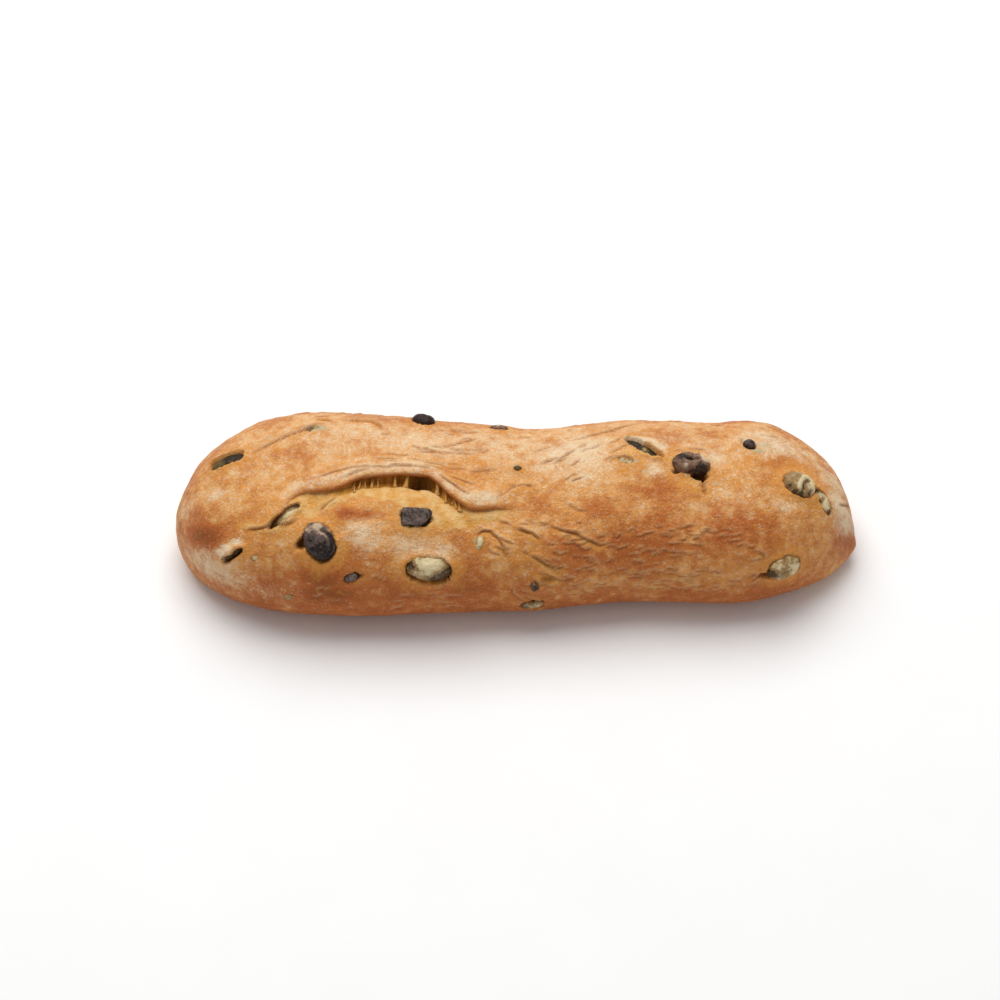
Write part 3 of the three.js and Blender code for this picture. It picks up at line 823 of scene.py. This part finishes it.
def add_node(tree, kind, settings=None, links=None):
    """Adds a node: settings are its properties or, by input name or number, its sockets' values;
    links are its inputs' sources."""
    node = tree.nodes.new("ShaderNode" + kind)
    for key, value in (settings or {}).items():
        if isinstance(key, int) or key in node.inputs:
            node.inputs[key].default_value = value
        else:
            setattr(node, key, value)
    for key, source in (links or {}).items():
        tree.links.new(source, node.inputs[key])
    return node


def new_material(name, specular=0.5):
    """An empty material, its node tree and its shader, already wired to the output."""
    material = bpy.data.materials.new(name)
    material.use_nodes = True
    tree = material.node_tree
    tree.nodes.clear()
    shader = add_node(tree, "BsdfPrincipled", {"Specular IOR Level": specular})
    add_node(tree, "OutputMaterial", links={"Surface": shader.outputs[0]})
    return material, tree, shader


def grain(tree, source, size, detail=3, roughness=0.55, distortion=0.0):
    """Noise with grains of a real size in metres, 0 to 1."""
    settings = {"Scale": 1 / size, "Detail": detail, "Roughness": roughness, "Distortion": distortion}
    return add_node(tree, "TexNoise", settings, {"Vector": source}).outputs["Fac"]


def ramp(tree, source, low, high):
    """0 at low, 1 at high, smooth between."""
    settings = {"interpolation_type": "SMOOTHSTEP", "From Min": low, "From Max": high}
    return add_node(tree, "MapRange", settings, {"Value": source}).outputs[0]


def weighed(tree, *parts):
    """The sum of sources, each times its weight."""
    total = None
    for source, weight in parts:
        settings = {"operation": "MULTIPLY_ADD", 1: weight, 2: 0.0}
        node = add_node(tree, "Math", settings, {0: source})
        if total is not None:
            tree.links.new(total, node.inputs[2])
        total = node.outputs[0]
    return total


def blend_colours(tree, share, first, second):
    """Mixes two colours, each a hex string or a source."""
    node = add_node(tree, "Mix", {"data_type": "RGBA"}, {0: share})
    for i, part in ((6, first), (7, second)):
        if isinstance(part, str):
            node.inputs[i].default_value = linear(part)
        else:
            tree.links.new(part, node.inputs[i])
    return node.outputs[2]


def look(tree, name):
    return add_node(tree, "Attribute", {"attribute_name": name}).outputs["Fac"]


def wheat_crust():
    """Baked wheat crust, proofed on floured cloth: browned and mottled, with a thin uneven film of
    flour, golden where the skin stretched late, amber and glassy inside the split. Shade is painted
    in its creases and pits, and a highlight on the standing edges of its folds."""
    material, tree, shader = new_material("wheat_crust", 0.2)
    place = add_node(tree, "TexCoord").outputs["Object"]
    combed = add_node(tree, "Mapping", {"Scale": (1, 0.12, 0.12)}, {"Vector": place}).outputs[0]
    broad = grain(tree, place, 0.016, 3)
    mottle = grain(tree, place, 0.0042, 4, 0.6)
    speckle = grain(tree, place, 0.0013, 3, 0.65)
    grit = grain(tree, place, 0.0009, 2, 0.6)
    threads = grain(tree, combed, 0.0016, 3)

    # wheat gold, browned where the oven toasted it, in patches of 16, 4 and 1.3 mm, and darker low on the
    # front, partly painted shade
    browned = weighed(tree, (look(tree, "toast_and_low_shade"), 1.1), (broad, 2.2), (mottle, 1.9), (speckle, 0.8))
    colour = blend_colours(tree, ramp(tree, browned, 1.85, 3.25), "#de9a4c", "#b46028")
    colour = blend_colours(tree, ramp(tree, browned, 2.95, 4.25), colour, "#80400f")
    # late-stretched skin: less browned, from gold to pale cream
    golden = weighed(tree, (look(tree, "gold"), 1), (mottle, 1.2), (broad, 0.6))
    colour = blend_colours(tree, ramp(tree, golden, 0.95, 1.5), colour, "#d68f40")
    colour = blend_colours(tree, ramp(tree, golden, 1.45, 2.1), colour, "#e2b26c")

    # dark freckles, and the flour, which clings where the crust is paler and in loose grains
    freckles = weighed(tree, (ramp(tree, speckle, 0.54, 0.7), 0.4))
    colour = blend_colours(tree, freckles, colour, "#9c4f1a")
    dust = weighed(tree, (broad, -1.4), (mottle, -1.8), (speckle, 1.8), (grit, 1))
    bare = weighed(tree, (look(tree, "gold"), -0.4), (look(tree, "toast_and_low_shade"), -0.5))
    dust = weighed(tree, (dust, 1), (look(tree, "flour"), 1.3), (bare, 1))
    loose = weighed(tree, (grit, 1), (look(tree, "toast_and_low_shade"), -0.07))
    floured = weighed(tree, (ramp(tree, dust, -0.4, 1.3), 0.8), (ramp(tree, loose, 0.55, 0.7), 0.3))
    colour = blend_colours(tree, floured, colour, "#e8d3b2")
    stained = weighed(tree, (look(tree, "stain"), 1), (mottle, 0.8))
    colour = blend_colours(tree, ramp(tree, stained, 0.6, 1.5), colour, "#bcae8a")

    # torn crumb, and the amber, glassy skin down in the split
    torn = weighed(tree, (look(tree, "crumb"), 1), (mottle, 0.5))
    crumb = blend_colours(tree, ramp(tree, mottle, 0.3, 0.7), "#d8963f", "#e4bb7c")
    colour = blend_colours(tree, ramp(tree, torn, 0.45, 1.1), colour, crumb)
    amber = blend_colours(tree, ramp(tree, threads, 0.3, 0.7), "#a5641a", "#d99c40")
    colour = blend_colours(tree, look(tree, "hollow"), colour, amber)
    # the baked edge of the lip, a painted highlight on the folds' standing edges, and painted shade in the
    # creases and pits
    colour = blend_colours(tree, weighed(tree, (look(tree, "lip"), 0.75)), colour, "#a9561f")
    colour = blend_colours(tree, weighed(tree, (look(tree, "ridge_highlight"), 0.5)), colour, "#e3bd8c")
    colour = blend_colours(tree, weighed(tree, (look(tree, "crease_shade"), 0.75)), colour, "#8f430f")
    colour = blend_colours(tree, weighed(tree, (look(tree, "pit"), 0.85)), colour, "#512a0c")
    tree.links.new(colour, shader.inputs["Base Color"])

    rough = add_node(tree, "MapRange", {"To Min": 0.55, "To Max": 0.9}, {"Value": floured}).outputs[0]
    tree.links.new(rough, shader.inputs["Roughness"])
    relief = weighed(tree, (mottle, 0.9), (speckle, 0.6), (grit, 0.4))
    bump = add_node(tree, "Bump", {"Strength": 0.9, "Distance": 0.0011}, {"Height": relief})
    tree.links.new(bump.outputs[0], shader.inputs["Normal"])
    return material


def olive_material(name, skin_colour, bruise, flesh, film, gloss):
    """Olive baked dry: dark skin, duller where it wrinkled, paler flesh where it was cut, and a
    film of flour and salt that takes its shine."""
    material, tree, shader = new_material(name, 0.25)
    place = add_node(tree, "TexCoord").outputs["Object"]
    mottle = grain(tree, place, 0.0026, 3, 0.6)
    fine = grain(tree, place, 0.0009, 3, 0.65)
    cut = weighed(tree, (look(tree, "flesh"), 1), (mottle, 0.9), (fine, 0.5))
    colour = blend_colours(tree, ramp(tree, cut, 0.8, 1.2), skin_colour, bruise)
    colour = blend_colours(tree, ramp(tree, cut, 1.3, 1.7), colour, flesh)
    dust = weighed(tree, (look(tree, "dust"), 0.5), (fine, 1), (mottle, 0.4))
    dusty = weighed(tree, (ramp(tree, dust, 0.85, 1.4), 0.7))
    colour = blend_colours(tree, dusty, colour, film)
    tree.links.new(colour, shader.inputs["Base Color"])
    rough = add_node(tree, "MapRange", {"To Min": gloss, "To Max": 0.85}, {"Value": dusty}).outputs[0]
    tree.links.new(rough, shader.inputs["Roughness"])
    relief = weighed(tree, (mottle, 1), (fine, 0.5))
    bump = add_node(tree, "Bump", {"Strength": 0.8, "Distance": 0.0006}, {"Height": relief})
    tree.links.new(bump.outputs[0], shader.inputs["Normal"])
    return material


# ---------------------------------------------------------------- the olives' looks

# What each piece looks like, seen with the loaf's length to the right and turn growing upwards.
# Lengths are mm from the piece's middle, angles degrees from the right, and flesh runs from 0, dark
# skin, over 0.5, wrinkled skin, to 1, pale cut flesh.
#   kind: its material
#   flesh, rough, dust: its usual flesh, how uneven its surface is in mm, and the film on it
#   shade: (angle, flesh added on that side)
#   cuts: (angle, distance) of flat sides, flat: height of a flat top, sink: how much lower it lies
#   marks: (right, up, radius, flesh added) of round patches
#   arcs: (right, up, radius, angle, half spread, width, depth, flesh added) of grooves along a circle,
#   darkened as painted shade where the flesh added is negative
LOOKS = {
    "olive_left_shoulder": dict(
        kind="dark_green", flesh=0.2, rough=0.6, dust=0, cuts=[(150, 6.5), (-30, 6.5)],
        marks=[(5.5, 0.8, 2.4, -0.7), (-4, 0, 3, 0.25)],
    ),
    "olive_left_crest": dict(kind="pale_green", flesh=0.8, rough=0.4, dust=0.8, sink=1),
    "olive_back_crest": dict(kind="brown_black", flesh=0, rough=0.35, dust=0, marks=[(-3, 1, 2, 0.3)]),
    "olive_back_sliver": dict(
        kind="brown_black", flesh=0.5, rough=0.3, dust=0.5,
        marks=[(-0.5, 0, 1.6, 0.5), (-3, 0.3, 1, -0.6), (3, 0, 1, -0.6)],
    ),
    "olive_green_sliver": dict(
        kind="pale_green", flesh=0.5, rough=0.6, dust=0.2, sink=1.2, shade=(131, -1),
        marks=[(-4.4, -4, 2.2, -0.9), (2.4, 0.6, 1.8, 0.5), (4.4, 4.4, 1.2, -0.9), (5.8, 5.6, 1, -0.6)],
    ),
    "olive_black_curl": dict(
        kind="purple_black", flesh=0.32, rough=0.6, dust=0.3, shade=(-80, -0.08),
        marks=[
            (-1.5, 1, 2.4, 0.1), (-0.4, 5.6, 2.2, 0.8), (0.6, -6.4, 1.8, -0.6), (-4.4, 4, 1.6, 0.7),
            (3, 3.4, 1.4, 0.5),
        ],
        arcs=[
            (-0.8, -1.4, 5.9, 15, 75, 0.5, 1.5, -0.9), (-0.8, -1.4, 4.6, 40, 50, 0.7, -0.4, 0.35),
            (-2, -1, 2.4, -60, 60, 0.6, 0.9, -0.3),
        ],
    ),
    "olive_split_chunk": dict(
        kind="purple_black", flesh=0.3, rough=0.8, dust=0.5, flat=2.7,
        cuts=[(90, 3.4), (178, 5.7), (-38, 4), (-90, 3.4), (0, 6)], marks=[(-5, 0, 1, -0.4)],
    ),
    "olive_left_sliver": dict(kind="dark_green", flesh=0.25, rough=0.3, dust=0.1, sink=0.6),
    "olive_front_bit": dict(
        kind="purple_black", flesh=0.6, rough=0.6, dust=0.9, sink=0.5,
        marks=[(2.2, 0.9, 1, -1.4), (-2, -0.6, 1.2, -1)],
    ),
    "olive_front_bulge": dict(
        kind="pale_green", flesh=0.6, rough=0.6, dust=0.4, shade=(-88, -0.2),
        # the dark patch under its lower right edge is painted shadow
        marks=[
            (1, 2.2, 3.4, 0.7), (-7.4, 1.6, 1.7, -1.1), (3.8, -4, 2.6, -1), (8.2, -1.2, 2, -1),
            (-2.6, -0.8, 2.4, 0.35),
        ],
        arcs=[(-3, 6, 6.5, -110, 40, 0.6, 0.6, -0.3)],
    ),
    "olive_front_foot": dict(
        kind="pale_green", flesh=0.35, rough=0.4, dust=0.5,
        marks=[(2.4, 0.4, 1.6, 0.6), (-3.6, 0, 1.4, -0.5)],
    ),
    "olive_right_slit": dict(
        kind="dark_green", flesh=-0.1, rough=0.5, dust=0, sink=0.7,
        marks=[(0.9, -1.3, 1.2, 1.1), (3, -2.6, 1.4, 0.3), (6, -5, 1.6, 0.8)],
    ),
    "olive_right_crown": dict(
        kind="brown_black", flesh=0.42, rough=0.7, dust=0.35,
        # the black patch low on its right is painted shadow under its pale cap
        marks=[
            (5.4, 1.6, 2.2, 1.2), (1.4, -0.8, 1.7, 0.5), (-2.4, -3, 1.6, 0.45), (-4.6, 1.8, 2.2, -0.3),
            (0.6, 3.2, 2, -0.25), (3.6, -4.2, 2.1, -1.3),
        ],
        arcs=[(0, 5, 5.4, -92, 48, 0.6, 1.3, -0.55)],
    ),
    "olive_right_back": dict(kind="purple_black", flesh=0.3, rough=0.4, dust=0.4, marks=[(-1, 1, 1, 0.3)]),
    "olive_right_shoulder": dict(
        kind="pale_green", flesh=0.65, rough=0.5, dust=0.35,
        marks=[
            (-4.4, -0.6, 2.2, -0.2), (5.2, 0.4, 2.8, 0.9), (-3.2, -4.4, 1, -0.8), (-0.6, -4.6, 1, -0.8),
            (3.2, -4.2, 0.9, -0.6), (-5.6, -2, 1, -0.4),
        ],
        arcs=[(3.5, -2.6, 5.4, 142, 62, 0.8, -0.5, 0.8), (3.5, -2.6, 3.4, 142, 70, 0.7, 1, -0.6)],
    ),
    "olive_right_strip": dict(
        kind="pale_green", flesh=0.95, rough=0.5, dust=0.4,
        marks=[(-3.6, 4, 1.8, -1.1), (3.4, -4.2, 1.6, -1.3), (-1.8, -0.4, 1, -0.6)],
    ),
    "olive_crown_speck": dict(kind="dark_green", flesh=0.4, rough=0.2, dust=0.3),
    "olive_front_speck": dict(kind="brown_black", flesh=0.35, rough=0.3, dust=0.3),
    "olive_right_front": dict(
        kind="pale_green", flesh=0.66, rough=0.6, dust=0.35, shade=(-75, -0.1),
        marks=[
            (-6.4, -1.6, 2, -1.1), (3, 0.6, 2.4, 0.45), (-0.6, 4.4, 1, -0.5), (2.4, 4.4, 0.9, -0.5),
            (0.4, -4.6, 1.6, -0.3),
        ],
        arcs=[(2, -6, 6.4, 112, 40, 0.6, 0.6, -0.3), (4, -5, 7.6, 70, 30, 0.5, 0.4, -0.2)],
    ),
    "olive_crown_patch": dict(kind="pale_green", flesh=0.6, rough=0.4, dust=0.5, sink=0.5),
    "olive_crease_sliver": dict(kind="pale_green", flesh=0.8, rough=0.2, dust=0.5, sink=0.4),
    "olive_left_speck": dict(kind="pale_green", flesh=0.75, rough=0.6, dust=0.5, sink=0.9),
    "olive_foot_speck": dict(kind="pale_green", flesh=0.6, rough=0.4, dust=0.5, sink=1),
    "olive_back_left": dict(
        kind="dark_green", flesh=0.4, rough=0.6, dust=0.3, marks=[(3, 2, 2, 0.5)],
        arcs=[(0, -3, 4, 90, 60, 0.6, 0.8, -0.4)],
    ),
    "olive_back_low": dict(
        kind="purple_black", flesh=0.3, rough=0.7, dust=0.2, cuts=[(60, 3.6), (240, 3.4)],
    ),
    "olive_back_middle": dict(
        kind="purple_black", flesh=0.3, rough=0.7, dust=0.2, marks=[(4, 3, 2.2, 0.9), (-2, 0, 2.4, 0.25)],
        arcs=[(-0.5, -0.5, 4.2, 60, 80, 0.7, 1.6, 1)],
    ),
    "olive_back_chunk": dict(
        kind="brown_black", flesh=0.25, rough=0.7, dust=0.3, flat=2.8,
        cuts=[(70, 3.2), (180, 5), (-40, 4.2)],
    ),
    "olive_back_right": dict(
        kind="pale_green", flesh=0.6, rough=0.6, dust=0.4, shade=(200, -0.5),
        marks=[(-4.4, -3, 2, -1)], arcs=[(2, -4, 5.6, 110, 50, 0.6, 0.7, -0.5)],
    ),
    "olive_back_tip": dict(kind="pale_green", flesh=0.6, rough=0.5, dust=0.3, shade=(90, -0.4), sink=0.3),
}


OLIVE_RINGS = 44
OLIVE_SECTORS = 64
PRESSED = 0.88  # the share of what stands beyond a cut that is pressed back


def bake_olive(name, seed):
    """A piece of olive: a superellipsoid, cut, grooved and wrinkled as it dried.

    A direction d is scaled to r = (|x|^p + |y|^p + |z|^p)^(-1/p), then by the half sizes, and moved
    out by noise, sharpened into creases by its absolute value, less the depth of its grooves.
    Whatever stands beyond a cut is pressed back to an eighth of its height over it.
    """
    olive, looks = OLIVES[name], LOOKS[name]
    slope = np.linspace(0, math.pi, OLIVE_RINGS + 2)[1:-1]
    around = np.linspace(0, 2 * math.pi, OLIVE_SECTORS, endpoint=False)
    s, w = np.meshgrid(slope, around, indexing="ij")
    d = np.stack([-np.cos(s), np.sin(s) * np.cos(w), np.sin(s) * np.sin(w)], -1)
    middle, length, breadth, outward = olive_frame(olive)
    half = np.array(olive["half"])
    spin = math.radians(olive["spin"])
    turned = np.array([(math.cos(spin), math.sin(spin), 0), (-math.sin(spin), math.cos(spin), 0), (0, 0, 1)])
    basis = turned.T @ np.stack([length, breadth, outward])

    def grooved(local):
        depth, flesh = np.zeros(local.shape[:-1]), np.zeros(local.shape[:-1])
        for right, up, radius, angle, spread, width, deep, pale in looks.get("arcs", []):
            u, v = local[..., 0] - right, local[..., 1] - up
            facing = np.cos(np.arctan2(v, u) - math.radians(angle))
            arc = bell(np.hypot(u, v) - radius, width) * (local[..., 2] > 0)
            arc *= np.sqrt(smooth(facing, math.cos(math.radians(spread)), 1))
            depth += deep * arc
            flesh += pale * arc
        return depth, flesh

    def pressed(local, way, distance):
        beyond = np.maximum(local @ way - distance, 0)
        return local - PRESSED * beyond[..., None] * way

    def shaped(way):
        r = np.sum(np.abs(way) ** olive["square"], -1, keepdims=True) ** (-1 / olive["square"])
        local = (way * r * half) @ turned
        for angle, distance in looks.get("cuts", []):
            toward = np.array([math.cos(math.radians(angle)), math.sin(math.radians(angle)), 0])
            local = pressed(local, toward, distance)
        local = pressed(local, np.array([0, 0, 1.0]), looks.get("flat", half[2]))
        crumple = 0.6 * lumps(local, 3.2, seed) + 0.3 * lumps(local, 1.3, seed + 1)
        creased = 0.8 * np.abs(lumps(local, 2.4, seed + 2)) + 0.35 * np.abs(lumps(local, 1.2, seed + 4))
        crumple -= creased - 0.25
        moved = looks["rough"] * crumple - grooved(local)[0]
        return local + unit((way * half) @ turned) * moved[..., None] - (0, 0, looks.get("sink", 0))

    local = shaped(d)
    angle, change = looks.get("shade", (0, 0))
    side = local[..., 0] * math.cos(math.radians(angle)) + local[..., 1] * math.sin(math.radians(angle))
    # grooves with negative flesh added are darkened: painted shade in them
    flesh = looks["flesh"] + change * side / half[1] + 0.2 * lumps(local, 3, seed + 3) + grooved(local)[1]
    for right, up, radius, strength in looks.get("marks", []):
        flesh += strength * bell(np.hypot(local[..., 0] - right, local[..., 1] - up), radius)
    dust = np.clip(looks["dust"] * (0.4 + local[..., 2] / half[2]), 0, 1)
    colours = {"flesh": np.clip(flesh, -0.2, 1.2), "dust": dust}
    ends = shaped(np.array([(-1.0, 0, 0), (1, 0, 0)]))
    return skin(name + "_skin", local @ basis + middle, colours, ends @ basis + middle)


# Crumb left standing across the split: the stout pillars, as (x, foot radius), the place in the
# split's section where their heads end, and the stretches of fine webs, as (x from, x to, count).
PILLARS = np.array([(-47.2, 0.8), (-43.2, 1.1), (-30.6, 1)])
PILLAR_HEADS = 2
WEBS = [(-64, -45, 9), (-30, -22, 5)]
THREAD_RINGS = 7
THREAD_SIDES = 6


def crumb_threads(crust_points):
    """Pillars and webs of crumb left standing across the split as it tore.

    Each runs from the bared crumb up the back of the hollow: foot + t (head - foot), bowed out by
    sin(pi t). Its six-sided section has a radius of (1.2 - 1.5 t + 0.9 t²) times its foot's.
    """
    draw = np.random.default_rng(29)
    rings, rows = loaf_places()
    webs = [draw.uniform(*stretch) for stretch in WEBS]
    x = np.concatenate([PILLARS[:, 0], *webs])
    foot_row = draw.normal(-4, 0.4, x.size)
    head_row = draw.normal(0.4, 0.5, x.size)
    head_x = x + draw.normal(0, 0.35, x.size)
    foot_radius = draw.uniform(0.35, 0.65, x.size)
    foot_radius[: len(PILLARS)] = PILLARS[:, 1]
    head_row[: len(PILLARS)] = PILLAR_HEADS

    def on_crust(at, place):
        ring = np.clip(np.searchsorted(rings, at), 0, len(rings) - 1)
        return crust_points[ring, np.searchsorted(rows, place / MM_PER_DEGREE)]

    foot, head = on_crust(x, foot_row), on_crust(head_x, head_row)
    t = np.linspace(-0.08, 1.08, THREAD_RINGS)[:, None, None]  # both ends lie inside the crumb
    bow = np.sin(math.pi * np.clip(t, 0, 1)) * np.array([0, -0.5, 0.2])
    path = foot + (head - foot) * t + bow * draw.uniform(0.2, 1.4, (x.size, 1))
    thick = foot_radius * (1.2 - 1.5 * t[..., 0] + 0.9 * t[..., 0] ** 2)
    way = unit(head - foot)
    side = unit(np.cross(way, (0.0, 0, 1)))
    up = np.cross(side, way)
    angle = np.linspace(0, 2 * math.pi, THREAD_SIDES, endpoint=False)[:, None, None, None]
    ring = path + thick[..., None] * (np.cos(angle) * up + np.sin(angle) * side)
    strands = ring.transpose(2, 1, 0, 3).reshape(x.size, -1, 3)
    strands = np.concatenate([path[0][:, None], strands, path[-1][:, None]], axis=1)
    one = closed_grid(THREAD_RINGS, THREAD_SIDES)
    faces = [[v + k * strands.shape[1] for v in face] for k in range(x.size) for face in one]
    points = strands.reshape(-1, 3)
    looks = {"crumb": np.ones(len(points)), "hollow": np.full(len(points), 0.5)}
    return add_mesh("crumb_threads", points, faces, looks)


# ---------------------------------------------------------------- build

crust_points, crust_looks = bake_crust()
loaf_low, loaf_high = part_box("loaf")
sides = crust_points[..., 1].min() + crust_points[..., 1].max()
# What moves the loaf's own millimetres to where it was packed.
SHIFT = np.array([
    (loaf_low.x + loaf_high.x) / 2 / MM,
    (loaf_low.y + loaf_high.y) / 2 / MM - sides / 2,
    loaf_low.z / MM,
])

# Each olive's skin, wrinkled skin, cut flesh and film of flour, and its roughness where it is bare.
MATERIALS = {
    "purple_black": olive_material("purple_black_olive", "#1e1412", "#5c4a42", "#bfa387", "#8b7a70", 0.5),
    "brown_black": olive_material("brown_black_olive", "#2a160d", "#7a5a46", "#cdb696", "#ab9379", 0.5),
    "dark_green": olive_material("dark_green_olive", "#2b1f0c", "#66542c", "#a08a52", "#a8935f", 0.5),
    "pale_green": olive_material("pale_green_olive", "#4a3112", "#957548", "#dac79a", "#e0cfa9", 0.55),
}

tips = np.array([(-HALF, 0, TIP_LEFT), (HALF, 0, TIP_RIGHT)], float)
tips[0, 1] = crust_points[0, :, 1].mean()
tips[1, 1] = crust_points[-1, :, 1].mean()
crust = skin("baked_crust", crust_points, crust_looks, tips)
crust.data.materials.append(wheat_crust())
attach(crust, "root")
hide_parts("loaf")
threads = crumb_threads(crust_points)
threads.data.materials.append(crust.data.materials[0])
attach(threads, "root")

FIRST_SEED = 100
SEEDS_EACH = 10
for number, name in enumerate(OLIVES):
    piece = bake_olive(name, FIRST_SEED + SEEDS_EACH * number)
    piece.data.materials.append(MATERIALS[LOOKS[name]["kind"]])
    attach(piece, "root")
    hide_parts(name)

# ---------------------------------------------------------------- studio


def paper_floor():
    """Matt white paper: almost even, with a faint cloudiness."""
    material, tree, shader = new_material("white_paper", 0.1)
    place = add_node(tree, "TexCoord").outputs["Object"]
    tone = blend_colours(tree, grain(tree, place, 0.05), "#f6f6f5", "#fafafa")
    tree.links.new(tone, shader.inputs["Base Color"])
    shader.inputs["Roughness"].default_value = 0.9
    return material


def soft_light(name, place, aim, size, power):
    """A square softbox that faces its aim."""
    light = bpy.data.lights.new(name, "AREA")
    light.size = size
    light.energy = power
    lamp = bpy.data.objects.new(name, light)
    lamp.location = place
    lamp.rotation_euler = (Vector(aim) - Vector(place)).to_track_quat("-Z", "Y").to_euler()
    bpy.context.scene.collection.objects.link(lamp)


FLOOR = 3.0  # half the paper's width, in metres
floor_mesh = bpy.data.meshes.new("floor")
corners = [(-FLOOR, -FLOOR, 0), (FLOOR, -FLOOR, 0), (FLOOR, FLOOR, 0), (-FLOOR, FLOOR, 0)]
floor_mesh.from_pydata(corners, [], [(0, 1, 2, 3)])
floor = bpy.data.objects.new("floor", floor_mesh)
bpy.context.scene.collection.objects.link(floor)
floor.data.materials.append(paper_floor())

world = bpy.data.worlds.new("studio")
world.use_nodes = True
world.node_tree.nodes["Background"].inputs["Color"].default_value = (1, 1, 1, 1)
world.node_tree.nodes["Background"].inputs["Strength"].default_value = 0.4
bpy.context.scene.world = world
soft_light("overhead", (-0.15, 0.6, 1.5), (0, 0, 0.03), 1.5, 26)

# The camera looks along the loaf's breadth, 50 degrees down, through a long lens. Metres here.
ELEVATION = math.radians(50)
DISTANCE = 1.106
OFF_MIDDLE = (-0.0064, 0.004, -0.0023)
aim = (loaf_low + loaf_high) / 2 + Vector(OFF_MIDDLE)
back = Vector((0, -math.cos(ELEVATION), math.sin(ELEVATION)))
camera_data = bpy.data.cameras.new("camera")
camera_data.lens = 100
camera_data.sensor_width = 36
camera = bpy.data.objects.new("camera", camera_data)
camera.location = aim + back * DISTANCE
camera.rotation_euler = (math.radians(90) - ELEVATION, 0, 0)
bpy.context.scene.collection.objects.link(camera)
bpy.context.scene.camera = camera
bpy.context.scene.view_settings.view_transform = "Standard"
